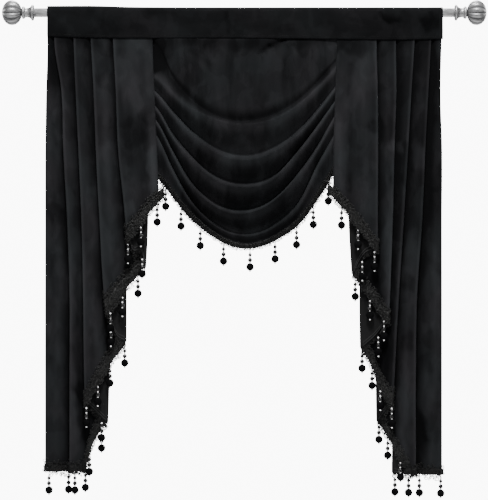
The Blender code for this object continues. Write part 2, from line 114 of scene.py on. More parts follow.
floor_mesh = bpy.data.meshes.new("floor")
reach = FLOOR_SIZE / 2
floor_mesh.from_pydata(
    [(x, y, -FLOOR_DOWN) for x, y in ((-reach, -reach), (reach, -reach), (reach, reach), (-reach, reach))],
    [],
    [(0, 1, 2, 3)],
)
floor = bpy.data.objects.new("floor", floor_mesh)
bpy.context.scene.collection.objects.link(floor)

world = bpy.data.worlds.new("studio")
world.use_nodes = True
studio = world.node_tree
soft = studio.nodes["Background"]
soft.inputs["Color"].default_value = WHITE
soft.inputs["Strength"].default_value = AMBIENT
paper = studio.nodes.new("ShaderNodeBackground")
paper.inputs["Color"].default_value = WHITE
paper.inputs["Strength"].default_value = BACKGROUND
seen = studio.nodes.new("ShaderNodeLightPath")
both = studio.nodes.new("ShaderNodeMixShader")
studio.links.new(seen.outputs["Is Camera Ray"], both.inputs["Fac"])
studio.links.new(soft.outputs["Background"], both.inputs[1])
studio.links.new(paper.outputs["Background"], both.inputs[2])
studio.links.new(both.outputs["Shader"], studio.nodes["World Output"].inputs["Surface"])
bpy.context.scene.world = world

for lamp in LAMPS:
    add_lamp(lamp.name, lamp.place, LAMPS_AIM, lamp.size, lamp.power)
print("lamps", [obj.name for obj in bpy.context.scene.objects if obj.type == "LIGHT"])

# %% [markdown]
# ## Writing shaders as expressions
#
# A material is a tree of nodes. The class below wraps one socket, so that a shade can be written
# as ordinary maths, such as `1 - mask * 0.5`, and each operator adds its Math node.

# %% Shader expressions
class Shade:
    """A socket of a material that Python's operators work on."""

    def __init__(self, look, socket):
        self.look = look
        self.socket = socket

    def math(self, operation, first, second):
        return self.look.node("ShaderNodeMath", {"operation": operation}, {0: first, 1: second})

    def __add__(self, other):
        return self.math("ADD", self, other)

    def __sub__(self, other):
        return self.math("SUBTRACT", self, other)

    def __mul__(self, other):
        return self.math("MULTIPLY", self, other)

    def __rsub__(self, other):
        return self.math("SUBTRACT", other, self)

    __radd__ = __add__
    __rmul__ = __mul__


class Look:
    """A material with one Principled shader."""

    def __init__(self, name, **constants):
        self.material = bpy.data.materials.new(name)
        self.material.use_nodes = True
        self.tree = self.material.node_tree
        self.shader = self.tree.nodes["Principled BSDF"]
        for title, value in constants.items():
            self.shader.inputs[title.replace("_", " ")].default_value = value

    def node(self, kind, settings, inputs, output=0):
        node = self.tree.nodes.new(kind)
        for title, value in settings.items():
            setattr(node, title, value)
        for title, value in inputs.items():
            self.feed(node.inputs[title], value)
        return Shade(self, node.outputs[output])

    def feed(self, socket, value):
        if isinstance(value, Shade):
            self.tree.links.new(value.socket, socket)
        else:
            socket.default_value = value

    def shade(self, title, value):
        self.feed(self.shader.inputs[title], value)

    def noise(self, vector, scale, detail=2, distortion=0):
        sizes = {"Vector": vector, "Scale": scale, "Detail": detail, "Distortion": distortion}
        return self.node("ShaderNodeTexNoise", {}, sizes)

    def step(self, value, low, high):
        """A smooth step from 0 at low to 1 at high."""
        sizes = {"Value": value, "From Min": low, "From Max": high}
        return self.node("ShaderNodeMapRange", {"interpolation_type": "SMOOTHSTEP"}, sizes)

    def mix(self, factor, dark, light):
        colours = {"Factor": factor, 6: dark, 7: light}
        return self.node("ShaderNodeMix", {"data_type": "RGBA"}, colours, 2)

    def stretch(self, vector, scales):
        sizes = {0: vector, 1: scales}
        return self.node("ShaderNodeVectorMath", {"operation": "MULTIPLY"}, sizes)

    def bump(self, height, distance, strength=1.0):
        sizes = {"Height": height, "Distance": distance, "Strength": strength}
        return self.node("ShaderNodeBump", {}, sizes)


print("shader inputs", len(Look("try_out").shader.inputs))
bpy.data.materials.remove(bpy.data.materials["try_out"])

# %% [markdown]
# ## The velvet
#
# Velvet is a short dense pile. Brushed by hand it lies in patches, and each patch returns the
# light a little differently, so black velvet shows soft cloudy blotches. Sheen on the shader
# gives the glow at the edges of folds. The small blotches are noise on the cloth's own map, which
# runs in metres over the flat cloth, so they follow it round every fold. The large ones come with
# the mesh as an attribute called "lie", which also carries painted highlights along folds and
# lips and painted shade beside folds, in valleys and in creases.

# %% Velvet
PILE_DARK = (0.0016, 0.00163, 0.0018, 1)
PILE_COOL = (0.0118, 0.0129, 0.0139, 1)
PILE_WARM = (0.0132, 0.0128, 0.0141, 1)
PILE_FROST_HIGHLIGHT = (0.022, 0.0235, 0.025, 1)
SHEEN_TINT = (0.085, 0.088, 0.096, 1)
BRUSHED_DOWN = (1.5, 0.6, 1.0)
BRUSHED_SIDEWAYS = (0.6, 1.3, 1.0)
# How much each of these lightens the pile, and how light it is without them.
PATCH_PART = 0.16
STREAK_PART = 0.16
CRUSH_PART = 0.09
TUFT_PART = 0.14
# The lie brings the large nap patches and the painted highlights and painted shade from the mesh.
LIE_PART = 0.30
PLAIN_PART = 0.16
# Where the lie rises past these values, mostly on the painted highlights along folds and lips,
# the pile is painted a frosty grey highlight.
FROST_HIGHLIGHT_FROM = 1.4
FROST_HIGHLIGHT_TO = 3.4


def dimmed(colour, shade):
    return tuple(shade * part for part in colour[:3]) + (1,)


def velvet_look(name, shade, brush):
    """Velvet whose pile returns the given share of light, brushed more along one way."""
    look = Look(
        name,
        Sheen_Weight=0.6 * shade,
        Sheen_Roughness=0.25,
        Sheen_Tint=SHEEN_TINT,
        Specular_IOR_Level=0.02,
    )
    cloth = look.node("ShaderNodeUVMap", {"uv_map": "cloth"}, {})
    lie = look.node("ShaderNodeAttribute", {"attribute_name": "lie"}, {}, 2)
    patches = look.step(look.noise(look.stretch(cloth, brush), 8, 3, 0.2), 0.40, 0.60)
    streaks = look.noise(look.stretch(cloth, tuple(20 * part * part for part in brush)), 1, 3)
    crush = look.step(look.noise(look.stretch(cloth, (24, 16, 1)), 1, 4, 0.4), 0.47, 0.58)
    tufts = look.noise(cloth, 1500, 1)
    brushed = patches * PATCH_PART + streaks * STREAK_PART + crush * CRUSH_PART
    nap_and_shading = look.step(brushed + tufts * TUFT_PART + lie * LIE_PART + PLAIN_PART, -0.05, 0.95)
    dark, cool, warm = (dimmed(colour, shade) for colour in (PILE_DARK, PILE_COOL, PILE_WARM))
    light = look.mix(look.step(look.noise(cloth, 6, 2), 0.35, 0.65), cool, warm)
    # Painted highlight: frosty grey where the lie is highest.
    frost_highlight = look.step(lie + streaks * 0.5, FROST_HIGHLIGHT_FROM, FROST_HIGHLIGHT_TO)
    look.shade("Base Color", look.mix(frost_highlight, look.mix(nap_and_shading, dark, light), PILE_FROST_HIGHLIGHT))
    look.shade("Roughness", 0.95 - nap_and_shading * 0.15)
    relief = patches * 0.3 + crush * 0.12 + streaks * 0.25 + tufts * 0.05
    look.shade("Normal", look.bump(relief, 0.003, 0.5))
    return look.material


def reverse_look():
    """The back of the velvet, where the ground weave shows."""
    look = Look("velvet_reverse", Sheen_Weight=0.2, Sheen_Tint=(0.05, 0.05, 0.05, 1), Specular_IOR_Level=0.03)
    cloth = look.node("ShaderNodeUVMap", {"uv_map": "cloth"}, {})
    weave = look.node("ShaderNodeTexWave", {}, {"Vector": cloth, "Scale": 420, "Distortion": 1.5})
    clouds = look.noise(cloth, 14, 3)
    shade = clouds * 0.7 + weave * 0.3
    look.shade("Base Color", look.mix(shade, (0.0030, 0.0030, 0.0031, 1), (0.0090, 0.0090, 0.0092, 1)))
    look.shade("Roughness", 0.9 - weave * 0.1)
    look.shade("Normal", look.bump(weave * 0.4 + clouds, 0.001, 0.5))
    return look.material


VELVET = velvet_look("black_velvet", 0.88, BRUSHED_DOWN)
HEADER_VELVET = velvet_look("black_velvet_sideways", 0.45, BRUSHED_SIDEWAYS)
REVERSE = reverse_look()
print("velvet nodes", len(VELVET.node_tree.nodes))

# %% [markdown]
# ## Braid, beads and metal
#
# The braid is twisted rayon, so it is glossier than the velvet and sparkles in small points. The
# beads are jet black and pearly white. The rod and its finials are brushed pewter: the rod's copy
# of the metal is painted lighter and the finials' darker, for the way light falls on each, and the
# finials are painted darker in the grooves as shade. The depth of a groove comes as an attribute
# from the mesh.

# %% Braid, beads and metal
THREAD_BLACK = (0.0006, 0.0006, 0.0006, 1)
GROOVE_SHADE_GREY = (0.03, 0.03, 0.032, 1)
# The braid is darker at the foot of the tails, fading in between these heights in metres.
BRAID_DARK_BELOW = -1.268
BRAID_LIGHT_ABOVE = -1.235
BRAID_DARKEST = 0.25


def braid_look(name, light):
    """Twisted thread, which returns a little of the light in small points."""
    look = Look(name, Specular_IOR_Level=0.16)
    place = look.node("ShaderNodeTexCoord", {}, {}, 3)
    tint = look.noise(place, 240, 2)
    grain = look.noise(place, 900, 1)
    mottle = look.step(tint * 0.7 + grain * 0.3, 0.44, 0.58)
    height = look.node("ShaderNodeSeparateXYZ", {}, {"Vector": place}, 2)
    lighter_above_foot = look.step(height, BRAID_DARK_BELOW, BRAID_LIGHT_ABOVE) * (1 - BRAID_DARKEST) + BRAID_DARKEST
    look.shade("Base Color", look.mix(mottle * lighter_above_foot, THREAD_BLACK, (light, light, light * 0.97, 1)))
    look.shade("Roughness", 0.42 + grain * 0.3)
    look.shade("Normal", look.bump(grain, 0.0006, 0.7))
    return look.material


def bead_look(name, dark, light, roughness, **constants):
    """A plain bead or thread, a little uneven in tone."""
    look = Look(name, **constants)
    place = look.node("ShaderNodeTexCoord", {}, {}, 3)
    tone = look.noise(place, 60, 1)
    look.shade("Base Color", look.mix(tone, dark, light))
    look.shade("Roughness", roughness + tone * 0.08)
    return look.material


def pewter_look(name, dark, light):
    """Metal brushed round the rod's axis, painted darker in its grooves as shade, and rougher there."""
    look = Look(name)
    place = look.node("ShaderNodeTexCoord", {}, {}, 3)
    groove = look.node("ShaderNodeAttribute", {"attribute_name": "groove"}, {}, 2)
    brush = look.noise(look.stretch(place, (40, 900, 900)), 1, 3)
    cloud = look.noise(place, 70, 3)
    tone = look.step(brush * 0.5 + cloud * 0.5, 0.3, 0.7)
    bright = look.mix(tone, (dark, dark, dark * 1.01, 1), (light, light, light * 1.01, 1))
    # Painted shade: the grooves are darker and greyer.
    look.shade("Base Color", look.mix(groove * 0.95, bright, GROOVE_SHADE_GREY))
    look.shade("Metallic", 1 - groove * 0.35)
    look.shade("Roughness", 0.42 + tone * 0.14 + groove * 0.2)
    look.shade("Normal", look.bump(brush * 0.4 + cloud, 0.0006, 0.35))
    return look.material


def floor_look():
    look = Look("pale_floor")
    place = look.node("ShaderNodeTexCoord", {}, {}, 3)
    look.shade("Base Color", look.mix(look.noise(place, 2, 2), (0.90, 0.90, 0.90, 1), (0.94, 0.94, 0.94, 1)))
    look.shade("Roughness", 0.9)
    return look.material


BRAID = braid_look("black_braid", 0.0140)
# The swag's braid is a copy of the same braid painted much darker: painted shade along the swag's hem.
SHADED_SWAG_BRAID = braid_look("black_swag_braid_painted_shade", 0.0020)
GLOSS = bead_look(
    "glossy_jet_bead", (0.0008, 0.0008, 0.0009, 1), (0.0025, 0.0025, 0.0026, 1), 0.18, Specular_IOR_Level=0.25
)
JET = bead_look(
    "jet_ball", (0.0012, 0.0012, 0.0013, 1), (0.0035, 0.0035, 0.0037, 1), 0.5, Specular_IOR_Level=0.0
)
HEM_THREAD = bead_look(
    "hem_stitching", (0.010, 0.010, 0.010, 1), (0.022, 0.022, 0.022, 1), 0.6, Specular_IOR_Level=0.1
)
HEADER_THREAD = bead_look(
    "header_stitching", (0.003, 0.003, 0.003, 1), (0.006, 0.006, 0.006, 1), 0.7, Specular_IOR_Level=0.05
)
PEARL = bead_look("pearl_bead", (0.80, 0.80, 0.80, 1), (0.92, 0.92, 0.92, 1), 0.15, Coat_Weight=0.3)
# Two copies of one pewter: the finials' painted darker and the rod's painted lighter, for how light falls on
# each shape.
FINIAL_PEWTER_PAINTED_DARKER = pewter_look("brushed_pewter_painted_darker", 0.15, 0.25)
ROD_PEWTER_PAINTED_LIGHTER = pewter_look("brushed_rod_painted_lighter", 0.54, 0.80)
floor.data.materials.append(floor_look())
print("materials", len(bpy.data.materials))

# %% [markdown]
# ## Tables and curves
#
# The shape of the cloth comes from short tables, as in a pattern cutter's notes. They hold
# millimetres: "out" is the distance from the middle of the valance, "down" the distance below the
# rod's axis, and "back" the depth, negative towards the room. `flow` draws a smooth curve through
# the values of a row.

# %% Smooth curves and sheets
def flow(at, knots, values):
    """The height of a smooth curve through the knots, level past both ends."""
    knots = np.asarray(knots, float)
    values = np.asarray(values, float)
    slopes = np.gradient(values, knots)
    at = np.clip(at, knots[0], knots[-1])
    i = np.clip(np.searchsorted(knots, at, side="right") - 1, 0, len(knots) - 2)
    span = knots[i + 1] - knots[i]
    t = (at - knots[i]) / span
    ends = values[i] * (1 + 2 * t) * (1 - t) ** 2 + values[i + 1] * t**2 * (3 - 2 * t)
    return ends + span * (slopes[i] * t * (1 - t) ** 2 - slopes[i + 1] * t**2 * (1 - t))


def smooth_step(t):
    t = np.clip(t, 0, 1)
    return t * t * (3 - 2 * t)


def between(at, start, rise, end, fall):
    """1 from start to end, with a smooth rise past the start and a smooth fall up to the end."""
    return smooth_step((at - start) / rise) * smooth_step((end - at) / fall)


def new_object(name, mesh, *materials):
    obj = bpy.data.objects.new(name, mesh)
    for material in materials:
        mesh.materials.append(material)
    bpy.context.scene.collection.objects.link(obj)
    return obj


def across_sheet(grid, distance, way):
    """The grid moved out from itself by a distance in millimetres, towards its right side."""
    grid = np.asarray(grid, float)
    normal = np.cross(np.gradient(grid, axis=1), np.gradient(grid, axis=0))
    normal *= way / (np.linalg.norm(normal, axis=2, keepdims=True) + 1e-9)
    return grid + distance * normal


def add_sheet(name, grid, thickness, *materials, turned=False, lie=None):
    """A cloth over a grid of points in millimetres, mapped in metres of flat cloth.

    Its faces are reversed where it is turned. "lie" is how light the velvet is painted at each
    point, for its nap and for painted highlights and painted shade: 0 is plain, less is darker and
    more is lighter.
    """
    grid = np.asarray(grid, float)
    columns, rows = grid.shape[:2]
    mesh = bpy.data.meshes.new(name)
    faces = [
        (i * rows + j, i * rows + j + 1, (i + 1) * rows + j + 1, (i + 1) * rows + j)
        for i in range(columns - 1)
        for j in range(rows - 1)
    ]
    if turned:
        faces = [face[::-1] for face in faces]
    mesh.from_pydata(grid.reshape(-1, 3) * MM, [], faces)
    mesh.shade_smooth()
    across = np.linalg.norm(np.diff(grid, axis=0), axis=2).mean(axis=1)
    along = np.linalg.norm(np.diff(grid, axis=1), axis=2)
    width = np.concatenate([[0], np.cumsum(across)]) * MM
    length = np.concatenate([np.zeros((columns, 1)), np.cumsum(along, axis=1)], axis=1) * MM
    flat = [(width[i], length[i, j]) for i in range(columns) for j in range(rows)]
    layer = mesh.uv_layers.new(name="cloth")
    for loop in mesh.loops:
        layer.data[loop.index].uv = flat[loop.vertex_index]
    if lie is not None:
        attribute = mesh.attributes.new("lie", "FLOAT", "POINT")
        attribute.data.foreach_set("value", np.asarray(lie, float).ravel())
    obj = new_object(name, mesh, *materials)
    solidify = obj.modifiers.new("thickness", "SOLIDIFY")
    solidify.thickness = thickness
    solidify.offset = 0
    solidify.material_offset = len(materials) - 1
    area = sum(face.area for face in mesh.polygons)
    print(name, "flat width", round(width[-1], 3), "longest", round(length.max(), 3), "area", round(area, 3))
    return obj


# %% [markdown]
# ## The tails
#
# Each tail is one piece of velvet, laid back and forth in four knife pleats and cut on the slant,
# so its hem climbs in steps towards the middle. It could be draped by a cloth simulation, but the
# pleats are pressed and sewn into the header, so placing them one by one is closer to how they are
# made. Odd lines of the table are the folds that face the room, even lines the ones behind.

# %% Tails: the pattern
TAIL_TOP = 50
TAIL_DOWNS = (50, 90, 216, 384, 580, 804, 1028, 1266)
TAIL_BOTTOM = {LEFT: 1284, RIGHT: 1293}
TailLine = namedtuple("TailLine", "name hem outs")
TAIL_LINES = {
    LEFT: (
        TailLine("inner edge", 531, (256, 256, 251, 244, 236, 233, 233, 233)),
        TailLine("front fold 1", 643, (368, 366, 359, 352, 332, 322, 322, 322)),
        TailLine("hidden fold 1", 719, (273, 273, 272, 271, 269, 279, 282, 282)),
        TailLine("front fold 2", 849, (430, 428, 421, 414, 404, 390, 362, 360)),
        TailLine("hidden fold 2", 933, (342, 342, 340, 336, 333, 330, 331, 331)),
        TailLine("front fold 3", 1098, (477, 476, 471, 463, 454, 449, 446, 438)),
        TailLine("hidden fold 3", 1155, (393, 393, 390, 387, 384, 379, 378, 385)),
        TailLine("front fold 4", 1450, (531, 530, 511, 505, 494, 487, 487, 487)),
        TailLine("hidden fold 4", 1450, (454, 454, 452, 449, 446, 443, 442, 442)),
        TailLine("outer edge", 1450, (551, 550, 553, 555, 555, 555, 555, 555)),
    ),
    RIGHT: (
        TailLine("inner edge", 520, (258, 258, 254, 249, 248, 248, 248, 248)),
        TailLine("front fold 1", 670, (369, 369, 372, 373, 372, 372, 372, 372)),
        TailLine("hidden fold 1", 740, (291, 291, 292, 292, 292, 304, 306, 306)),
        TailLine("front fold 2", 869, (423, 423, 424, 419, 414, 406, 396, 392)),
        TailLine("hidden fold 2", 947, (330, 330, 330, 328, 326, 323, 326, 326)),
        TailLine("front fold 3", 1101, (477, 475, 467, 457, 445, 431, 419, 408)),
        TailLine("hidden fold 3", 1152, (383, 383, 381, 380, 377, 373, 370, 374)),
        TailLine("front fold 4", 1318, (523, 521, 514, 505, 496, 481, 478, 478)),
        TailLine("hidden fold 4", 1318, (437, 436, 433, 430, 426, 422, 418, 414)),
        TailLine("outer edge", 1318, (552, 551, 548, 552, 551, 551, 551, 551)),
    ),
}
LAYERS = len(TAIL_LINES[LEFT]) - 1
# How far back the front layer lies at each of those heights, and how far apart the layers lie.
TAIL_FRONT = (-13.8, -13.8, -17, -21, -24, -26, -27, -28)
TAIL_PITCH = (2.8, 3.0, 4.4, 5.8, 7.0, 8.0, 8.4, 8.6)
PLEAT_CLEAR = 6
PLEAT_RAMP = 34
LOOSE_FROM = 100
LOOSE_OVER = 500
PANEL_SWELL = 4.5
INNER_EDGE_TURN = 6
INNER_EDGE_SHARE = 0.28
print("layers in a tail", LAYERS)

# %% [markdown]
# Creases are soft troughs and ridges on top of the pleats. Each is a line on the cloth with a
# width and a depth. They are placed where the real cloth has them.

# %% Tails: creases
Crease = namedtuple("Crease", "layer out down end_out end_down width depth")
TAIL_CREASES = {
    LEFT: (
        Crease(0, 262, 330, 248, 520, 9, -3.5),
        Crease(0, 290, 120, 276, 470, 12, 2.2),
        Crease(0, 340, 110, 318, 420, 14, 1.6),
        Crease(6, 484, 1044, 436, 1102, 8, 6.5),
        Crease(6, 478, 930, 462, 1050, 7, 3.0),
        Crease(6, 474, 900, 470, 1180, 8, -2.0),
        Crease(4, 440, 640, 424, 960, 9, 2.0),
        Crease(8, 530, 300, 536, 1100, 10, 2.4),
        Crease(8, 512, 700, 505, 1220, 8, -2.4),
        Crease(2, 392, 200, 372, 700, 9, -1.6),
    ),
    RIGHT: (
        Crease(0, 296, 150, 292, 500, 8, 2.6),
        Crease(0, 262, 320, 268, 520, 11, -3.5),
        Crease(0, 334, 90, 340, 560, 14, -1.8),
        Crease(8, 478, 1110, 506, 1190, 8, 5.5),
        Crease(8, 506, 1190, 508, 1260, 8, 4.0),
        Crease(8, 522, 260, 520, 1000, 10, 2.2),
        Crease(6, 462, 400, 448, 980, 8, -2.0),
        Crease(4, 420, 620, 410, 1000, 8, 2.0),
        Crease(2, 398, 240, 392, 760, 8, -1.8),
    ),
}


def crease_depth(crease, out, down):
    """How far a crease presses the cloth back at each place."""
    start = np.array([crease.out, crease.down], float)
    run = np.array([crease.end_out, crease.end_down], float) - start
    share = ((out - start[0]) * run[0] + (down - start[1]) * run[1]) / (run @ run)
    beside = np.hypot(
        out - start[0] - np.clip(share, 0, 1) * run[0],
        down - start[1] - np.clip(share, 0, 1) * run[1],
    )
    fade = smooth_step(share * 4 + 1) * smooth_step((1 - share) * 4 + 1)
    return crease.depth * np.exp(-((beside / crease.width) ** 2)) * fade


print("creases", {side: len(rows) for side, rows in TAIL_CREASES.items()})

# %% [markdown]
# The pile is brushed lighter or darker in large patches, and some patches are painted shade and a
# few painted highlight instead. They are listed like the creases, each with a middle, a reach
# across and down, and a tone: below 0 is darker than the plain cloth, above 0 is lighter.

# %% Tails: brushed patches
Patch = namedtuple("Patch", "out down wide high tone")
# Some of these are painted: shade below the header and along shadowed folds, and a highlight along the rolled
# inner edge.
TAIL_NAP_AND_PAINTED_LIGHT_PATCHES = {
    LEFT: (
        Patch(430, 68, 120, 26, -0.4),
        Patch(304, 160, 52, 132, 0.6),
        Patch(300, 100, 40, 46, 0.3),
        Patch(303, 333, 50, 44, -0.4),
        Patch(308, 465, 44, 56, 0.2),
        Patch(320, 545, 24, 20, 0.6),
        Patch(250, 436, 20, 86, 1.15),
        Patch(516, 300, 16, 110, 0.7),
        Patch(397, 168, 17, 42, -0.4),
        Patch(470, 220, 96, 210, -0.5),
        Patch(446, 830, 20, 180, 0.5),
        Patch(484, 800, 12, 130, 0.4),
        Patch(525, 560, 32, 34, -0.5),
        Patch(535, 185, 30, 60, -0.3),
        Patch(530, 900, 14, 200, 0.4),
        Patch(460, 1075, 18, 36, -0.7),
        Patch(474, 1180, 14, 70, 0.5),
        Patch(410, 520, 60, 420, 0.2),
    ),
    RIGHT: (
        Patch(460, 68, 110, 24, -0.35),
        Patch(316, 84, 70, 38, -0.6),
        Patch(266, 390, 32, 140, 0.45),
        Patch(480, 300, 104, 360, -0.65),
        Patch(320, 200, 52, 110, 0.25),
        Patch(366, 322, 24, 20, -0.6),
        Patch(425, 372, 24, 18, 1.0),
        Patch(406, 620, 9, 240, 0.6),
        Patch(455, 430, 16, 70, -0.6),
        Patch(458, 760, 20, 26, -0.7),
        Patch(455, 925, 18, 30, -0.6),
        Patch(444, 1080, 15, 100, 0.7),
        Patch(498, 320, 20, 60, -0.5),
        Patch(494, 1170, 14, 60, -0.7),
        Patch(532, 870, 14, 220, 0.5),
        Patch(530, 600, 36, 640, -0.3),
    ),
}
# Crease troughs are painted darker and ridges lighter: painted shade and painted highlight.
CREASE_SHADE = 0.16


def patch_tone(patches, out, down):
    """The sum of the patches at each place; each has a flat middle and a short ragged fade."""
    out = out + 4 * np.sin(down / 19 + 1.7) + 2.5 * np.sin(down / 8)
    down = down + 6 * np.sin(out / 14) + 4 * np.sin(out / 5.5 + 0.8)
    tone = np.zeros(np.broadcast(out, down).shape)
    for patch in patches:
        away = ((out - patch.out) / patch.wide) ** 2 + ((down - patch.down) / patch.high) ** 2
        tone += patch.tone * np.exp(-(away**4))
    return tone


print("patches", {side: len(rows) for side, rows in TAIL_NAP_AND_PAINTED_LIGHT_PATCHES.items()})

# %% [markdown]
# A tail is worked out line by line. Each line of points runs down the cloth, either on a layer
# or round the bend between two layers. It lies as far back as the layers in front of it need,
# and each open panel swells a little, because velvet is too springy to hang flat.

# %% Tails: a line of points
PLEATS_SHUT = 0.3
OPEN_FROM = 70
OPEN_OVER = 90
BELLY_LATE = 1.6
SWAY = 0.5
CREASE_FADE = 8


def tail_layout(side, downs):
    """Where the lines of the table lie at each height, and how far apart the layers are."""
    outs = np.array([flow(downs, TAIL_DOWNS, line.outs) for line in TAIL_LINES[side]])
    pitch = flow(downs, TAIL_DOWNS, TAIL_PITCH)
    return outs, pitch


def tail_column(side, layer, share, turn, downs):
    """A line of points down a tail: on a layer at a share of its width, or on a turn's bend."""
    downs = np.asarray(downs, float)
    outs, pitch = tail_layout(side, downs)
    radius = pitch / 2
    outward = 1 if layer % 2 == 0 else -1
    start = outs[layer] + outward * radius * (layer > 0)
    end = outs[layer + 1] - outward * radius * (layer < LAYERS - 1)
    out = start + share * (end - start)
    rank = np.full(len(downs), float(layer % 2))
    opened = PLEATS_SHUT + (1 - PLEATS_SHUT) * smooth_step((downs - OPEN_FROM) / OPEN_OVER)
    for fold in range(1, layer, 2):
        rank += 2 * (1 - smooth_step((out - outs[fold] - PLEAT_CLEAR * opened) / (PLEAT_RAMP * opened)))
    back = flow(downs, TAIL_DOWNS, TAIL_FRONT) + rank * pitch
    loose = smooth_step((downs - LOOSE_FROM) / LOOSE_OVER)
    if turn is not None:
        angle = math.radians(turn)
        back = back + radius * (1 + math.sin(angle))
        out = out + outward * radius * math.cos(angle)
    else:
        open_share = np.clip(1 - rank / 2, 0, 1) if outward > 0 else 0 * rank
        belly = math.sin(math.pi * share ** (1 if layer == 0 else BELLY_LATE))
        sway = np.sin(downs / 47 + 2.1 * layer) + np.sin(downs / 83 + 1.3 * layer + side)
        back = back - loose * open_share * belly * (PANEL_SWELL + SWAY * sway)
        if layer == 0:
            turned = max(0, 1 - share / INNER_EDGE_SHARE) ** 2
            back = back + INNER_EDGE_TURN * loose * turned
        edge = min(1, CREASE_FADE * share) * min(1, CREASE_FADE * (1 - share))
        for crease in TAIL_CREASES[side]:
            if crease.layer == layer:
                back = back + edge * open_share * crease_depth(crease, out, downs)
    return np.stack([side * out, back, -downs], axis=1)


print("layers lie", TAIL_PITCH[0], "mm apart at the top and", TAIL_PITCH[-1], "mm at the foot")

# %% [markdown]
# A pressed pleat shines along its front fold, and the next panel is darkest just past it, where
# it lies in the fold's shade. A lamp alone gives too little of this on black velvet, so the
# attribute "lie" carries it to the material as well.

# %% Tails: nap and painted light on the pile
# Tones on the tails: the returns' tone, the width and strength of the painted highlight along a front fold,
# where the painted shade past a fold starts, the width and depth of its wide and narrow parts, and where and
# how much the panel beyond is painted lighter.
RETURN_LIE = -0.2
FOLD_GLOW = 5
FOLD_LIGHT = 1.3
PAST_FOLD = 2
FOLD_SHADE = 26
FOLD_DARK = 0.8
LINE_SHADE = 9
LINE_DARK = 0.5
PANEL_FROM = 14
PANEL_OVER = 20
PANEL_LIGHT = 0.3


def tail_nap_and_shading(side, layer, turn, column):
    """The painted tone down a line: a painted highlight along a front fold, painted shade just past the one
    in front, with the patches and creases.
    """
    out, downs = side * column[:, 0], -column[:, 2]
    outs, _ = tail_layout(side, downs)
    if layer % 2 == 1:
        return np.zeros(len(downs)) if turn is not None else np.full(len(downs), RETURN_LIE)
    tone = patch_tone(TAIL_NAP_AND_PAINTED_LIGHT_PATCHES[side], out, downs)
    # Painted shade in crease troughs, painted highlight on crease ridges.
    for crease in TAIL_CREASES[side]:
        if crease.layer == layer:
            tone -= CREASE_SHADE * crease_depth(crease, out, downs)
    # Painted highlight along this layer's front fold.
    if layer < LAYERS - 1:
        tone += FOLD_LIGHT * np.exp(-(((outs[layer + 1] - out) / FOLD_GLOW) ** 2))
    # Painted shade just past the fold in front, and the panel painted lighter further on.
    if layer > 0:
        past = out - outs[layer - 1]
        wide = FOLD_DARK * (1 - smooth_step((past - PAST_FOLD) / FOLD_SHADE))
        narrow = LINE_DARK * (1 - smooth_step((past - PAST_FOLD) / LINE_SHADE))
        tone -= wide + narrow
        tone += PANEL_LIGHT * smooth_step((past - PANEL_FROM) / PANEL_OVER)
    return tone


print("a fold shades", FOLD_SHADE, "mm of the panel behind it")

# %% [markdown]
# The hem is cut on the slant, so it crosses the layers in steps. The velvet ends behind the
# braid's tape, a little above the tape's edge, so no gap shows between them.

# %% Tails: lines and hems
def tail_stations(panel_spans, return_spans, turn_spans):
    """(layer, share, turn) of every line of points, from the inner edge to the outer one."""
    stations = []
    for layer in range(LAYERS):
        spans = panel_spans if layer % 2 == 0 else return_spans
        stations += [(layer, share, None) for share in np.linspace(0, 1, spans + 1)]
        if layer < LAYERS - 1:
            turns = -90 + 180 * np.arange(1, turn_spans) / turn_spans
            stations += [(layer, 1.0, turn) for turn in turns]
    return stations


def tail_width(side, layer, down):
    """How wide a layer is at a height."""
    outs, _ = tail_layout(side, np.array([float(down)]))
    return abs(outs[layer + 1, 0] - outs[layer, 0])


BRAID_WIDTH = 19
BRAID_UNDER = 2
VELVET_SHORT = 5
# Where a hem hangs in a curve: how far it has fallen at shares of the way across its layer.
HemBend = namedtuple("HemBend", "across fallen")
HEM_BENDS = {
    (LEFT, 1): HemBend((0, 0.2, 0.85, 1), (0, 0.36, 0.6, 1)),
    (LEFT, 3): HemBend((0, 0.25, 1), (0, 0.55, 1)),
    (LEFT, 4): HemBend((0, 0.7, 1), (0, 0.66, 1)),
    (LEFT, 6): HemBend((0, 0.15, 0.45, 0.6, 1), (0, 0.06, 0.26, 0.46, 1)),
    (RIGHT, 0): HemBend((0, 0.55, 1), (0, 0.52, 1)),
    (RIGHT, 1): HemBend((0, 0.37, 0.65, 1), (0, 0.1, 0.37, 1)),
    (RIGHT, 3): HemBend((0, 0.35, 1), (0, 0.46, 1)),
    (RIGHT, 4): HemBend((0, 0.34, 0.61, 1), (0, 0.34, 0.69, 1)),
    (RIGHT, 6): HemBend((0, 0.27, 0.59, 1), (0, 0.24, 0.57, 1)),
}


def hem_down(side, layer, share):
    """How far down the braid's edge lies at a share of the way across a layer."""
    near, far = TAIL_LINES[side][layer : layer + 2]
    bend = HEM_BENDS.get((side, layer))
    if bend:
        share = flow(share, bend.across, bend.fallen)
    return near.hem + share * (far.hem - near.hem)


def tail_hems(side, layer, share):
    """How far down the velvet ends, and the braid's tape starts and ends on it."""
    lines = TAIL_LINES[side]
    hem = hem_down(side, layer, share)
    stretches = []
    for each in range(LAYERS):
        width = abs(lines[each + 1].outs[-1] - lines[each].outs[-1])
        rise = lines[each + 1].hem - lines[each].hem
        stretches.append(math.hypot(rise, width) / width if hem < TAIL_BOTTOM[side] else 1)
    before = (stretches[max(layer - 1, 0)] + stretches[layer]) / 2
    after = (stretches[layer] + stretches[min(layer + 1, LAYERS - 1)]) / 2
    stretch = before + share * (after - before)
    hem = min(hem, TAIL_BOTTOM[side])
    return hem - VELVET_SHORT * stretch, hem - BRAID_WIDTH * stretch, hem - BRAID_UNDER * stretch


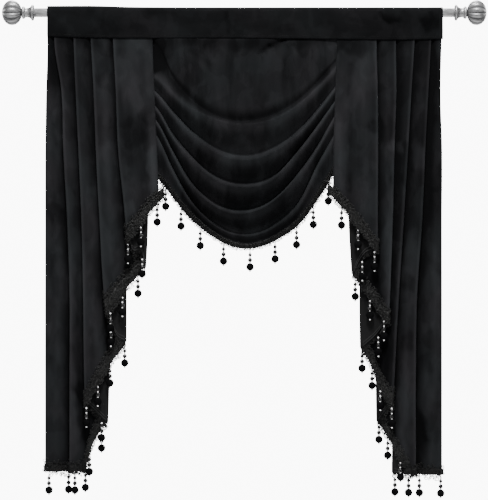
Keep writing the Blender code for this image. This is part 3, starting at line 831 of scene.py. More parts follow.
print("flat width at the top", round(sum(tail_width(LEFT, layer, TAIL_TOP) for layer in range(LAYERS))))

# %% [markdown]
# The lines of points are joined into one sheet a tail. Solidify then gives the cloth its
# thickness, with the velvet on the outside and its reverse on the inside.

# %% Tails: make both
TAIL_ROWS = 144
TAIL_SPANS = (22, 8, 8)
TAIL_CLOTH = 0.0018
TAIL_NAMES = {LEFT: "left", RIGHT: "right"}


def add_tail(side):
    grid, lie = [], []
    for layer, share, turn in tail_stations(*TAIL_SPANS):
        hem = tail_hems(side, layer, share)[0]
        grid.append(tail_column(side, layer, share, turn, np.linspace(TAIL_TOP, hem, TAIL_ROWS)))
        lie.append(tail_nap_and_shading(side, layer, turn, grid[-1]))
    name = f"tail_cloth_{TAIL_NAMES[side]}"
    return add_sheet(name, grid, TAIL_CLOTH, VELVET, REVERSE, turned=side == LEFT, lie=lie)


tails = {side: add_tail(side) for side in (LEFT, RIGHT)}

# %% [markdown]
# ## The swag
#
# The swag hangs in catenary folds between its two gathered sides. Each fold is a roll: its lip
# stands forward, its face drops, and then turns back under into the next valley, where the next
# lip comes out. The table holds where the lips run, and how far forward they stand.

# %% Swag: the pattern
SWAG_X = (-263, -242, -202, -152, -96, 2, 86, 156, 206, 251, 264)
SWAG_BACK_X = (SWAG_X[0], SWAG_X[3], SWAG_X[5], SWAG_X[7], SWAG_X[-1])
SwagRow = namedtuple("SwagRow", "name edge quarter middle downs")
SWAG_TOP = (
    SwagRow("top", -11.2, -13.3, -13.5, (50, 50, 50, 50, 50, 50, 50, 50, 50, 50, 50)),
    SwagRow("lap", -11.0, -13.1, -13.3, (66, 72, 72, 72, 72, 72, 72, 72, 72, 72, 70)),
    SwagRow("flat", -9.0, -17.0, -18.5, (70, 80, 100, 122, 135, 142, 135, 122, 105, 92, 84)),
    SwagRow("valley 0", -5, -6, -5, (78, 92, 175, 236, 280, 302, 282, 240, 192, 140, 124)),
)
SWAG_LIPS = (
    SwagRow("lip 1", -10, -25, -29, (168, 183, 225, 267, 295, 314, 298, 256, 211, 163, 150)),
    SwagRow("lip 2", -10, -27, -32, (215, 233, 281, 337, 384, 415, 390, 337, 278, 219, 202)),
    SwagRow("lip 3", -10, -28, -34, (254, 275, 345, 407, 460, 491, 466, 387, 320, 256, 238)),
    SwagRow("lip 4", -10, -28, -34, (288, 312, 390, 480, 536, 564, 527, 452, 379, 298, 278)),
    SwagRow("lip 5", -9, -24, -17, (330, 354, 440, 528, 588, 628, 603, 536, 429, 348, 322)),
)
SWAG_HEM = SwagRow("hem", -4, -14, -18, (440, 449, 494, 556, 606, 649, 624, 570, 500, 430, 416))
VALLEY_SHARE = 0.86
VALLEY_BACK = (-4.5, -9, -13)
FIRST_ROUND = 1.4
FACE_ROUND = 1.9
HEM_ROUND = 1.5
# In the middle, just below the header, the swag comes out to the header's front. The rows say
# where that starts, over how much it fades in, where it ends and over how much it fades out.
FLUSH_BACK = -16.0
FLUSH_ACROSS = (-262, 30, 105, 60)
FLUSH_DOWN = (71, 4, 148, 70)
# Painted light on each roll: the painted highlight along each lip, what share of it fades towards
# the middle, the painted shade on the whole roll below it in the middle, and how light or dark the
# valley above it is painted.
LIP_GLOW = (1.1, 1.5, 1.5, 1.5, 1.1)
LIP_FADE = (0.75, 0.85, 0.95, 1.1, 1.0)
ROLL_SHADE = (-0.15, -0.35, -0.5, -0.6, -0.9)
VALLEY_PAINTED_TONE = (-0.9, 0.3, 0.3, 0.3, 0.1, 0.1)
# The first two are painted shade in the deep recess at the left end.
SWAG_NAP_AND_PAINTED_LIGHT_PATCHES = (
    Patch(-242, 116, 24, 50, -1.8),
    Patch(-250, 155, 20, 22, -1.6),
    Patch(-190, 74, 70, 30, -0.2),
    Patch(0, 62, 270, 44, -0.6),
    Patch(0, 150, 240, 100, -0.3),
    Patch(-120, 150, 60, 40, 0.15),
)
SWAG_CREASES = (
    Crease(0, 41, 116, 72, 94, 6, 3.2),
    Crease(0, 70, 96, 112, 76, 6, 4.2),
    Crease(0, 108, 77, 170, 72, 5, 2.4),
    Crease(0, 138, 92, 160, 124, 6, 1.8),
    Crease(0, -150, 110, -96, 150, 8, 1.6),
)
print("lips", len(SWAG_LIPS))

# %% [markdown]
# The swag is worked out as one section after another, each a curve from the header down to the
# hem at one place along the rod. The section runs down the flat top, into the first valley and
# then over each lip and back into the next valley.

# %% Swag: one section
SWAG_STEPS = {"lap": 3, "flat": 16, "first valley": 22, "lip": 12, "face": 18, "hem": 14}
# How far from the middle the painted roll shade and the fading of the lip highlight reach.
MIDDLE_REACH = 215
MIDDLE_FADE = 120
# How far down the face the lip's painted highlight reaches, how deep the painted shade under the lip is, and
# from where the face is painted towards the next valley's tone.
GLOW_SHARE = 0.3
UNDER_LIP_DARK = 0.5
VALLEY_FROM = 0.6


def row_down(row, x):
    return flow(x, SWAG_X, row.downs)


def row_back(backs, x):
    edge, quarter, middle = backs
    return flow(x, SWAG_BACK_X, (edge, quarter, middle, quarter, edge))


def flush_with_header(x, down, back):
    """In the middle the swag's front comes out level with the header's just below its edge."""
    flush = between(x, *FLUSH_ACROSS) * between(down, *FLUSH_DOWN)
    return back + flush * (FLUSH_BACK - back)


def swag_column(x):
    """(down, back, lie) of the swag's section at a place along the rod, from top to hem; the lie is the
    painted highlight and shade of the rolls and creases.
    """
    section = []
    middle = smooth_step((MIDDLE_REACH - abs(x)) / MIDDLE_FADE)

    def run(start, end, steps, bend, lie):
        for step in range(1, steps + 1):
            share = step / steps
            down = start[0] + share * (end[0] - start[0])
            back = start[1] + bend(share) * (end[1] - start[1])
            section.append((down, back, lie(share)))

    # Painted shade deepening into the first valley.
    def first_valley_shade(share):
        return -1.0 * smooth_step(share * 5 - 3.8)

    top, lap, flat, valley = [(row_down(row, x), row_back(row[1:4], x)) for row in SWAG_TOP]
    section.append((*top, 0))
    run(top, lap, SWAG_STEPS["lap"], smooth_step, lambda share: 0)
    run(lap, flat, SWAG_STEPS["flat"], smooth_step, lambda share: 0)
    run(flat, valley, SWAG_STEPS["first valley"], lambda share: share**FIRST_ROUND, first_valley_shade)
    rows = SWAG_LIPS + (SWAG_HEM,)
    for i, row in enumerate(rows[:-1]):
        shade = ROLL_SHADE[i] * middle
        glow = LIP_GLOW[i] * (1 - LIP_FADE[i] * middle)
        lip = (row_down(row, x), row_back(row[1:4], x))
        below = rows[i + 1]
        end = (row_down(below, x), row_back(below[1:4], x))

        # Painted highlight rising from the valley onto the lip.
        def lip_highlight(share):
            return VALLEY_PAINTED_TONE[i] + (shade + glow - VALLEY_PAINTED_TONE[i]) * share**3

        # Painted highlight fading down the face, painted shade under the lip, then the valley's tone.
        def face_highlight_and_shade(share):
            glowing = glow * (1 - smooth_step(share / GLOW_SHARE))
            fallen = shade + glowing - UNDER_LIP_DARK * smooth_step(share / GLOW_SHARE - 0.5)
            rising = smooth_step((share - VALLEY_FROM) / (1 - VALLEY_FROM))
            return fallen + (VALLEY_PAINTED_TONE[i + 1] - fallen) * rising

        run(valley, lip, SWAG_STEPS["lip"], smooth_step, lip_highlight)
        if below is SWAG_HEM:
            run(lip, end, SWAG_STEPS["hem"], lambda share: share**HEM_ROUND, face_highlight_and_shade)
        else:
            valley = (lip[0] + VALLEY_SHARE * (end[0] - lip[0]), row_back(VALLEY_BACK, x))
            run(lip, valley, SWAG_STEPS["face"], lambda share: share**FACE_ROUND, face_highlight_and_shade)
    finished = []
    # Creases are painted darker in their troughs and lighter on their ridges: painted shade and highlight.
    for down, back, lie in section:
        pressed = sum(crease_depth(crease, x, down) for crease in SWAG_CREASES)
        finished.append((down, flush_with_header(x, down, back) + pressed, lie - CREASE_SHADE * pressed))
    return finished


print("points in a section", len(swag_column(0)))

# %% [markdown]
# The sections are joined into one sheet. Its hem leans the way the last roll leans, and the
# braid's tape lies on top of it.

# %% Swag: make it
HEM_LEAN = 0.25
SWAG_BRAID = 12
SWAG_SECTIONS = 111
SWAG_CLOTH = 0.002
TAPE_LIFT = 1.8


def hem_slopes(hems):
    return np.gradient(hems[:, 2], hems[:, 0])


def below_hem(column, slope, reaches):
    """Points that carry a column of the swag on past its hem, leaning no more than HEM_LEAN."""
    (_, back_above, height_above), (x, back, height) = column[-2:]
    lean = np.clip((back - back_above) / (height_above - height), -HEM_LEAN, HEM_LEAN)
    drops = [reach * math.hypot(1, slope) for reach in reaches]
    return [(x, back + lean * drop, height - drop) for drop in drops]


def make_swag_grids():
    """The swag down to just above its braid's edge, how its pile lies, and the braid's tape."""
    grid, lie, tape = [], [], []
    for x in np.linspace(SWAG_X[0], SWAG_X[-1], SWAG_SECTIONS):
        section = np.array(swag_column(x))
        points = [(x, back, -down) for down, back, _ in section]
        grid.append(points)
        lie.append(section[:, 2] + patch_tone(SWAG_NAP_AND_PAINTED_LIGHT_PATCHES, x, section[:, 0]))
    slopes = hem_slopes(np.array([column[-1] for column in grid]))
    for i, (column, slope) in enumerate(zip(list(grid), slopes)):
        tape.append(below_hem(column, slope, np.linspace(-1, SWAG_BRAID, 4)))
        grid[i] = column + below_hem(column, slope, (3, 6, 9))
        lie[i] = np.append(lie[i], [lie[i][-1]] * 3)
    return grid, lie, across_sheet(tape, TAPE_LIFT, 1)


swag_grid, swag_lie, swag_tape = make_swag_grids()
swag = add_sheet("swag_cloth", swag_grid, SWAG_CLOTH, VELVET, REVERSE, lie=swag_lie)

# %% [markdown]
# ## The header
#
# One strip is folded over the rod. Its front layer laps over the tops of the swag and the tails
# and ends in a turned edge, and its back layer hangs behind them.

# %% Header
BAND_CUFF_RADIUS = 14.1
BAND_CUFF_STEP = 11.25
BAND_FRONT = -16
BAND_FRONT_LEAN = 0.9
BAND_FRONT_TOP = 20
BAND_FRONT_ROWS = 15
BAND_BACK_AT_TAILS = 0.4
BAND_BACK_AT_SWAG = -10.7
BAND_PLACES = 181
BAND_CLOTH = 0.002
BandStation = namedtuple("BandStation", "x lift down")
BAND = (
    BandStation(-551, 4.0, 68),
    BandStation(-500, 4.2, 70),
    BandStation(-412, 4.0, 72),
    BandStation(-340, 1.6, 73),
    BandStation(-200, 0.2, 73),
    BandStation(0, 0.0, 73),
    BandStation(200, 0.2, 75),
    BandStation(330, 0.1, 77),
    BandStation(410, 0.3, 78),
    BandStation(480, 0.1, 77),
    BandStation(555, 0.4, 76),
)


def band_section(x):
    """The header's section: up the front, over the rod and down the back."""
    places = [station.x for station in BAND]
    lift = max(flow(x, places, [station.lift for station in BAND]), 0)
    bottom = flow(x, places, [station.down for station in BAND])
    at_tails = smooth_step((abs(x) - 175) / 70)
    back = BAND_BACK_AT_SWAG + at_tails * (BAND_BACK_AT_TAILS - BAND_BACK_AT_SWAG)
    section = []
    for share in np.linspace(0, 1, BAND_FRONT_ROWS):
        down = bottom + share * (BAND_FRONT_TOP - bottom)
        section.append((BAND_FRONT + BAND_FRONT_LEAN * smooth_step((share - 0.4) / 0.6), -down))
    for degrees in np.arange(180, -23, -BAND_CUFF_STEP):
        angle = math.radians(degrees)
        radius = BAND_CUFF_RADIUS + (lift if degrees > 0 else 0)
        section.append((BAND_CUFF_RADIUS * math.cos(angle), radius * math.sin(angle)))
    section += [(back * 0.4 + 9.5, -22), (back * 0.7 + 4.7, -34), (back, -46), (back, -66)]
    return section


BAND_PATCHES = (
    Patch(403, 15, 42, 12, -0.9),
    Patch(520, 26, 30, 26, -0.8),
    Patch(470, 20, 90, 22, -0.3),
    Patch(-470, 34, 60, 30, 0.3),
    Patch(-46, 24, 8, 42, -0.4),
)
MATCHES_SWAG = (-262, 30, 125, 60)
BESIDE_DARK = 0.15


def band_lie(x, section):
    """The header's pile matches the swag's in the middle and lies darker beside it."""
    beside = 1 - between(x, *MATCHES_SWAG)
    downs = -np.array(section)[:, 1]
    return patch_tone(BAND_PATCHES, x, downs) - BESIDE_DARK * beside


band_places = np.linspace(BAND[0].x, BAND[-1].x, BAND_PLACES)
band_grid = [[(x, y, z) for y, z in band_section(x)] for x in band_places]
band_tones = [band_lie(x, band_section(x)) for x in band_places]
band = add_sheet("header_cloth", band_grid, BAND_CLOTH, HEADER_VELVET, REVERSE, turned=True, lie=band_tones)

# %% [markdown]
# ## The braid
#
# The braid is a tape covered with small loops of thread, and the loops past its edge make it
# look like lace. Geometry Nodes set one small ring on each of many points, turned and sized at
# random with a fixed seed, and join them into one mesh.

# %% Braid: the loop maker
def add_node(tree, kind, settings, inputs):
    node = tree.nodes.new(kind)
    for title, value in settings.items():
        setattr(node, title, value)
    for title, value in inputs.items():
        if isinstance(value, bpy.types.NodeSocket):
            tree.links.new(value, node.inputs[title])
        else:
            node.inputs[title].default_value = value
    return node


def new_tree(name, sizes):
    """A geometry tree with named inputs for its sizes."""
    tree = bpy.data.node_groups.new(name, "GeometryNodeTree")
    tree.interface.new_socket("Geometry", in_out="INPUT", socket_type="NodeSocketGeometry")
    for title, kind in sizes.items():
        tree.interface.new_socket(title, in_out="INPUT", socket_type=kind)
    tree.interface.new_socket("Geometry", in_out="OUTPUT", socket_type="NodeSocketGeometry")
    return tree, tree.nodes.new("NodeGroupInput"), tree.nodes.new("NodeGroupOutput")


def close_tree(tree, given, result, geometry):
    """Turn what the tree made into plain mesh with its material, and hand it on."""
    real = add_node(tree, "GeometryNodeRealizeInstances", {}, {"Geometry": geometry})
    painted = add_node(tree, "GeometryNodeSetMaterial", {}, {
        "Geometry": real.outputs["Geometry"], "Material": given.outputs["Material"],
    })
    tree.links.new(painted.outputs["Geometry"], result.inputs["Geometry"])
    return tree


def loops_tree():
    """A small ring of thread on each point, tilted and squeezed at random."""
    tree, given, result = new_tree("braid_loops", {
        "Loop Radius": "NodeSocketFloat",
        "Thread Radius": "NodeSocketFloat",
        "Material": "NodeSocketMaterial",
        "Seed": "NodeSocketInt",
    })
    ring = add_node(tree, "GeometryNodeCurvePrimitiveCircle", {}, {
        "Resolution": 7, "Radius": given.outputs["Loop Radius"],
    })
    thread = add_node(tree, "GeometryNodeCurvePrimitiveCircle", {}, {
        "Resolution": 3, "Radius": given.outputs["Thread Radius"],
    })
    loop = add_node(tree, "GeometryNodeCurveToMesh", {}, {
        "Curve": ring.outputs["Curve"], "Profile Curve": thread.outputs["Curve"],
    })
    facing = add_node(tree, "GeometryNodeInputNamedAttribute", {"data_type": "FLOAT_VECTOR"}, {
        "Name": "facing",
    })
    flat = add_node(tree, "FunctionNodeAlignRotationToVector", {"axis": "Z"}, {
        "Vector": facing.outputs["Attribute"],
    })
    tilt = add_node(tree, "FunctionNodeRandomValue", {"data_type": "FLOAT_VECTOR"}, {
        "Min": (-0.7, -0.7, 0), "Max": (0.7, 0.7, math.tau), "Seed": given.outputs["Seed"],
    })
    turned = add_node(tree, "FunctionNodeRotateRotation", {"rotation_space": "LOCAL"}, {
        "Rotation": flat.outputs["Rotation"], "Rotate By": tilt.outputs["Value"],
    })
    shape = add_node(tree, "FunctionNodeRandomValue", {"data_type": "FLOAT_VECTOR"}, {
        "Min": (0.7, 0.5, 1), "Max": (1.3, 1.1, 1), "Seed": given.outputs["Seed"],
    })
    large = add_node(tree, "GeometryNodeInputNamedAttribute", {"data_type": "FLOAT"}, {"Name": "size"})
    size = add_node(tree, "ShaderNodeVectorMath", {"operation": "SCALE"}, {
        "Vector": shape.outputs["Value"], "Scale": large.outputs["Attribute"],
    })
    spread = add_node(tree, "GeometryNodeInstanceOnPoints", {}, {
        "Points": given.outputs["Geometry"],
        "Instance": loop.outputs["Mesh"],
        "Rotation": turned.outputs["Rotation"],
        "Scale": size.outputs["Vector"],
    })
    return close_tree(tree, given, result, spread.outputs["Instances"])


def grow(obj, tree, values):
    """Run a geometry tree on an object and keep the result as a plain mesh."""
    modifier = obj.modifiers.new("grow", "NODES")
    modifier.node_group = tree
    sockets = {item.name: item.identifier for item in tree.interface.items_tree if item.in_out == "INPUT"}
    for title, value in values.items():
        modifier[sockets[title]] = value
    graph = bpy.context.evaluated_depsgraph_get()
    mesh = bpy.data.meshes.new_from_object(obj.evaluated_get(graph))
    obj.modifiers.remove(modifier)
    seed_mesh = obj.data
    obj.data = mesh
    bpy.data.meshes.remove(seed_mesh)
    mesh.name = obj.name
    mesh.shade_smooth()
    print(obj.name, sum(len(face.vertices) - 2 for face in mesh.polygons), "triangles")
    return obj


LOOPS = loops_tree()
print("nodes in the loop maker", len(LOOPS.nodes))

# %% [markdown]
# The loops lie in rows along the tape, and some rows reach past its edges. Each row strays a
# little from its line, in slow waves and at random, so the edge looks tufted.

# %% Braid: points for the loops
LOOP_SPACING = 4.2
LOOP_SLIP = 1.5
LOOP_STRAY = 0.7
TUFT_WAVE = 3.1
TUFT_DRIFT = 7.7
TUFT_SHARE = 0.6
# Lower than this the braid lies crushed, and its loops stray further.
BOTTOM_FROM = 1235
BOTTOM_OVER = 30
TUFTS_AT_BOTTOM = 2.0
LoopRow = namedtuple("LoopRow", "place stray size")
TAIL_LOOPS = (
    LoopRow(-0.32, 0.20, 1.1),
    LoopRow(-0.08, 0.14, 1.2),
    LoopRow(0.20, 0.10, 1.0),
    LoopRow(0.46, 0.10, 1.1),
    LoopRow(0.72, 0.10, 1.1),
    LoopRow(0.98, 0.12, 1.2),
    LoopRow(1.18, 0.16, 1.3),
)
SWAG_LOOPS = (
    LoopRow(0.05, 0.08, 0.9),
    LoopRow(0.45, 0.10, 1.0),
    LoopRow(0.85, 0.10, 1.1),
    LoopRow(1.15, 0.16, 1.2),
)


def loop_points(name, grid, rows, lift, seed, way):
    """Points over a tape, with the way each faces and its size, spaced evenly along it."""
    chance = random.Random(seed)
    grid = np.asarray(grid, float)
    columns, count = grid.shape[:2]
    middle = grid[:, count // 2]
    steps = np.linalg.norm(np.diff(middle, axis=0), axis=1)
    run = np.concatenate([[0], np.cumsum(steps)])
    points, facing, sizes = [], [], []
    for k, row in enumerate(rows):
        for at in np.arange(LOOP_SPACING / 2 * (k % 2), run[-1], LOOP_SPACING):
            at = min(run[-1] - 0.01, max(0, at + chance.uniform(-LOOP_SLIP, LOOP_SLIP)))
            i = min(int(np.searchsorted(run, at, side="right")) - 1, columns - 2)
            share = (at - run[i]) / max(steps[i], 1e-6)
            tuft = math.sin(at / TUFT_WAVE + 2 * math.sin(at / TUFT_DRIFT))
            wild = 1 + TUFTS_AT_BOTTOM * smooth_step((-grid[i, -1, 2] - BOTTOM_FROM) / BOTTOM_OVER)
            aside = TUFT_SHARE * tuft + chance.uniform(-LOOP_STRAY, LOOP_STRAY)
            place = (row.place + row.stray * wild * aside) * (count - 1)
            j = min(max(int(place), 0), count - 2)
            part = place - j
            near = grid[i, j] * (1 - share) + grid[i + 1, j] * share
            far = grid[i, j + 1] * (1 - share) + grid[i + 1, j + 1] * share
            along = grid[i + 1, j] - grid[i, j]
            normal = np.cross(far - near, along)
            normal *= way / (np.linalg.norm(normal) + 1e-9)
            points.append((near * (1 - part) + far * part + normal * lift) * MM)
            facing.append(normal)
            sizes.append(row.size * chance.uniform(0.8, 1.15))
    mesh = bpy.data.meshes.new(name)
    mesh.from_pydata(points, [], [])
    attribute = mesh.attributes.new("facing", "FLOAT_VECTOR", "POINT")
    attribute.data.foreach_set("vector", np.asarray(facing, float).ravel())
    attribute = mesh.attributes.new("size", "FLOAT", "POINT")
    attribute.data.foreach_set("value", sizes)
    return new_object(name, mesh)


print("rows of loops", len(TAIL_LOOPS), "on a tail and", len(SWAG_LOOPS), "on the swag")

# %% [markdown]
# The tape is a narrow sheet that lies on the velvet. The loops are then grown on it, with their
# own seed for each braid.

# %% Braid: tape and loops
LOOP_RADIUS = 0.0030
LOOP_LIFT = 1.4
THREAD_RADIUS = 0.0008
TAPE = 0.0014
TAPE_ROWS = 5
BRAID_TIP = 15
BRAID_TIP_RISE = 9
BRAID_END = 4
TAPE_SPANS = (14, 10, 5)


def tail_tape_grid(side):
    """The tape lies on the right side of the velvet, and its cut end sticks out at the edge."""
    grid = []
    for layer, share, turn in tail_stations(*TAPE_SPANS):
        _, start, hem = tail_hems(side, layer, share)
        grid.append(tail_column(side, layer, share, turn, np.linspace(start, hem, TAPE_ROWS)))
    tip = np.array([(-side * BRAID_TIP, 0, BRAID_TIP_RISE + lift) for lift in reversed(range(TAPE_ROWS))])
    grid.insert(0, grid[0] + tip)
    grid.append(grid[-1] + np.array([side * BRAID_END, 0, 0]))
    return across_sheet(grid, TAPE_LIFT, side)


tape_grids = {"left": tail_tape_grid(LEFT), "right": tail_tape_grid(RIGHT), "swag": swag_tape}
tapes, loops = {}, {}
for seed, (name, grid) in enumerate(tape_grids.items()):
    way = -1 if name == "left" else 1
    rows, braid = (SWAG_LOOPS, SHADED_SWAG_BRAID) if name == "swag" else (TAIL_LOOPS, BRAID)
    tapes[name] = add_sheet(f"braid_tape_{name}", grid, TAPE, braid, REVERSE, turned=way < 0)
    points = loop_points(f"braid_loops_{name}", grid, rows, LOOP_LIFT, seed, way)
    loops[name] = grow(points, LOOPS, {
        "Loop Radius": LOOP_RADIUS,
        "Thread Radius": THREAD_RADIUS,
        "Material": braid,
        "Seed": seed,
    })

# %% [markdown]
# ## Beads and threads
#
# All beads of one kind are one set of points with a radius each, and Geometry Nodes set a ball on
# every point. Strings and stitches are thin tubes along the edges of a mesh.

# %% Beads and threads: their makers
def beads_tree():
    """A ball on each point, as large as the point's radius."""
    tree, given, result = new_tree("beads", {
        "Segments": "NodeSocketInt",
        "Rings": "NodeSocketInt",
        "Material": "NodeSocketMaterial",
    })
    ball = add_node(tree, "GeometryNodeMeshUVSphere", {}, {
        "Segments": given.outputs["Segments"], "Rings": given.outputs["Rings"], "Radius": 1.0,
    })
    radius = add_node(tree, "GeometryNodeInputNamedAttribute", {"data_type": "FLOAT"}, {"Name": "radius"})
    spread = add_node(tree, "GeometryNodeInstanceOnPoints", {}, {
        "Points": given.outputs["Geometry"],
        "Instance": ball.outputs["Mesh"],
        "Scale": radius.outputs["Attribute"],
    })
    return close_tree(tree, given, result, spread.outputs["Instances"])


def thread_tree():
    """A thin round thread along each edge."""
    tree, given, result = new_tree("thread", {
        "Thread Radius": "NodeSocketFloat",
        "Material": "NodeSocketMaterial",
    })
    curve = add_node(tree, "GeometryNodeMeshToCurve", {}, {"Mesh": given.outputs["Geometry"]})
    profile = add_node(tree, "GeometryNodeCurvePrimitiveCircle", {}, {
        "Resolution": 5, "Radius": given.outputs["Thread Radius"],
    })
    tube = add_node(tree, "GeometryNodeCurveToMesh", {}, {
        "Curve": curve.outputs["Curve"], "Profile Curve": profile.outputs["Curve"], "Fill Caps": True,
    })
    return close_tree(tree, given, result, tube.outputs["Mesh"])


def add_threads(name, points, edges, radius, material):
    """A thread along each edge between points in millimetres."""
    mesh = bpy.data.meshes.new(name)
    mesh.from_pydata([Vector(point) * MM for point in points], edges, [])
    return grow(new_object(name, mesh), THREAD, {"Thread Radius": radius, "Material": material})


BEADS = beads_tree()
THREAD = thread_tree()
print("nodes in the bead maker", len(BEADS.nodes), "and in the thread maker", len(THREAD.nodes))

# %% [markdown]
# ## The stitches
#
# The hems of the returns are turned and sewn with two lines of stitches, which show where a
# return faces the room. The header's turned edge has one line of short stitches.

# %% Stitches
HEM_STITCH_ROWS = (3, 11)
HEM_STITCH_SHARES = (0.04, 0.96, 12)
HEM_STITCH_LIFT = 1.1
HEM_STITCH_RADIUS = 0.0008
HEADER_STITCH = 4
HEADER_STITCH_GAP = 2.2
HEADER_STITCH_ROW = 2
HEADER_STITCH_ENDS = (4, 8)
HEADER_STITCH_LIFT = 1.2
HEADER_STITCH_RADIUS = 0.0004


def add_hem_stitching(side):
    """Two lines of stitches along the turned hem of each return, on the velvet's reverse."""
    points, edges = [], []
    shares = np.linspace(*HEM_STITCH_SHARES)
    for layer in range(1, LAYERS, 2):
        for row in HEM_STITCH_ROWS:
            for share in shares:
                down = [tail_hems(side, layer, share)[0] - row]
                x, back, height = tail_column(side, layer, share, None, down)[0]
                points.append((x, back - HEM_STITCH_LIFT, height))
                if share > shares[0]:
                    edges.append((len(points) - 2, len(points) - 1))
    return add_threads(f"hem_stitches_{TAIL_NAMES[side]}", points, edges, HEM_STITCH_RADIUS, HEM_THREAD)


def add_header_stitching():
    """One line of black stitches along the turned edge of the header's front layer."""
    points, edges = [], []
    first = band_places[0] + HEADER_STITCH_ENDS[0]
    last = band_places[-1] - HEADER_STITCH_ENDS[1]
    for start in np.arange(first, last, HEADER_STITCH + HEADER_STITCH_GAP):
        for x in (start, start + HEADER_STITCH):
            back, height = band_section(x)[HEADER_STITCH_ROW]
            points.append((x, back - HEADER_STITCH_LIFT, height))
        edges.append((len(points) - 2, len(points) - 1))
    return add_threads("header_stitches", points, edges, HEADER_STITCH_RADIUS, HEADER_THREAD)


stitches = {side: add_hem_stitching(side) for side in (LEFT, RIGHT)}
header_stitches = add_header_stitching()

# %% [markdown]
# ## The drops
#
# Each drop is a short string: small pearly beads with black ones between them, then a black ball
# with one last pearly bead under it. The drops hang from the lower edge of each braid. The tables
# hold their places along the rod, for the tails layer by layer.

# %% Drops: where they hang
Bead = namedtuple("Bead", "kind below radius")
STRING = (
    Bead("pearl", 11, 2.4),
    Bead("jet", 17.5, 5.0),
    Bead("pearl", 24, 2.5),
    Bead("jet", 32, 6.2),
    Bead("pearl", 39.5, 2.4),
    Bead("ball", 51, 10.9),
    Bead("pearl", 62.8, 2.5),
)
DROP_LENGTH = 51
BALL_RADIUS = 10
DROP_CLEAR = 1.2
SWAG_DROPS = (-220, -177, -123, -58, 16, 86, 146, 193, 235)
TAIL_DROPS = {
    LEFT: {
        0: (243, 288, 324),
        1: (285,),
        2: (297, 340, 373),
        3: (372,),
        4: (335, 375, 408, 440),
        5: (398,),
        6: (399, 432, 444, 472),
        8: (491, 544),
    },
    RIGHT: {
        0: (271, 317, 363),
        1: (329,),
        2: (310, 351, 390),
        3: (375,),
        4: (330, 358, 381, 412),
        5: (378,),
        6: (402, 435),
        8: (422, 459, 489, 547),
    },
}


def edge_points(columns, places):
    """The points on the braid's lower edge above each place."""
    edge = sorted(tuple(column[-1]) for column in columns)
    x, back, height = zip(*edge)
    return [(place, np.interp(place, x, back), np.interp(place, x, height)) for place in places]


def tail_roots(side, grid):
    """Where the drops of a tail are sewn on, layer by layer."""
    stations = tail_stations(*TAPE_SPANS)
    places = []
    for layer, outs in TAIL_DROPS[side].items():
        run = [column for station, column in zip(stations, grid[1:]) if station[0] == layer]
        places += edge_points(run, [side * out for out in outs])
    return places


roots = {name: tail_roots(side, tape_grids[name]) for side, name in TAIL_NAMES.items()}
roots["swag"] = edge_points(tape_grids["swag"], SWAG_DROPS)
print("drops", {name: len(places) for name, places in roots.items()})

# %% [markdown]
# A ball that would hang inside the cloth behind it rests on that cloth instead, and its string
# leans forward. A ray cast towards the wall finds that cloth.

# %% Drops: hang them
ROOT_ABOVE = 3
THREAD_BELOW = 5
DROP_THREAD_RADIUS = 0.0012
BeadShape = namedtuple("BeadShape", "segments rings material")
BEAD_SHAPES = {
    "jet": BeadShape(12, 7, GLOSS),
    "pearl": BeadShape(10, 6, PEARL),
    "ball": BeadShape(24, 14, JET),
}


def ball_back(root, cloths):
    """How far back the ball hangs: straight below its root, or resting on the cloth behind."""
    x, back, height = root
    reach = BALL_RADIUS + DROP_CLEAR
    for cloth in cloths:
        for shift_x in (-BALL_RADIUS, 0, BALL_RADIUS):
            for shift_z in (-BALL_RADIUS, 0, BALL_RADIUS, 2 * BALL_RADIUS):
                start = Vector((x + shift_x, -10 * reach, height - DROP_LENGTH + shift_z)) * MM
                met, place, _, _ = cloth.ray_cast(start, Vector((0, 1, 0)))
                if met:
                    back = min(back, place.y / MM - reach)
    return back


def add_drops(name, roots, cloths):
    """The beads of each kind and the threads of one braid, as four pieces."""
    kinds = {"jet": [], "pearl": [], "ball": []}
    strings = []
    for x, back, height in roots:
        lean = (ball_back((x, back, height), cloths) - back) / DROP_LENGTH
        way = Vector((0, lean, -1)).normalized()
        start = Vector((x, back, height + ROOT_ABOVE))
        for bead in STRING:
            kinds[bead.kind].append((start + way * (bead.below + ROOT_ABOVE), bead.radius))
        strings += [start, start + way * (STRING[-1].below + THREAD_BELOW)]
    made = []
    for kind, (segments, rings, material) in BEAD_SHAPES.items():
        mesh = bpy.data.meshes.new(f"{kind}_beads_{name}")
        mesh.from_pydata([place * MM for place, _ in kinds[kind]], [], [])
        attribute = mesh.attributes.new("radius", "FLOAT", "POINT")
        attribute.data.foreach_set("value", [radius * MM for _, radius in kinds[kind]])
        piece = new_object(f"{kind}_beads_{name}", mesh)
        made.append(grow(piece, BEADS, {"Segments": segments, "Rings": rings, "Material": material}))
    pairs = [(i, i + 1) for i in range(0, len(strings), 2)]
    made.append(add_threads(f"threads_{name}", strings, pairs, DROP_THREAD_RADIUS, JET))
    return made


behind = {"left": [tails[LEFT], tapes["left"]], "right": [tails[RIGHT], tapes["right"]], "swag": []}
drops = {name: add_drops(name, places, behind[name]) for name, places in roots.items()}

# %% [markdown]
# ## The rod and its finials
#
# Turned pieces are one profile spun round the rod's axis. The melon is a ball whose radius dips
# along twelve meridians, so its ribs stand out between sharp grooves. The mesh keeps the depth
# of each groove as an attribute, and the metal is painted darker there as shade.

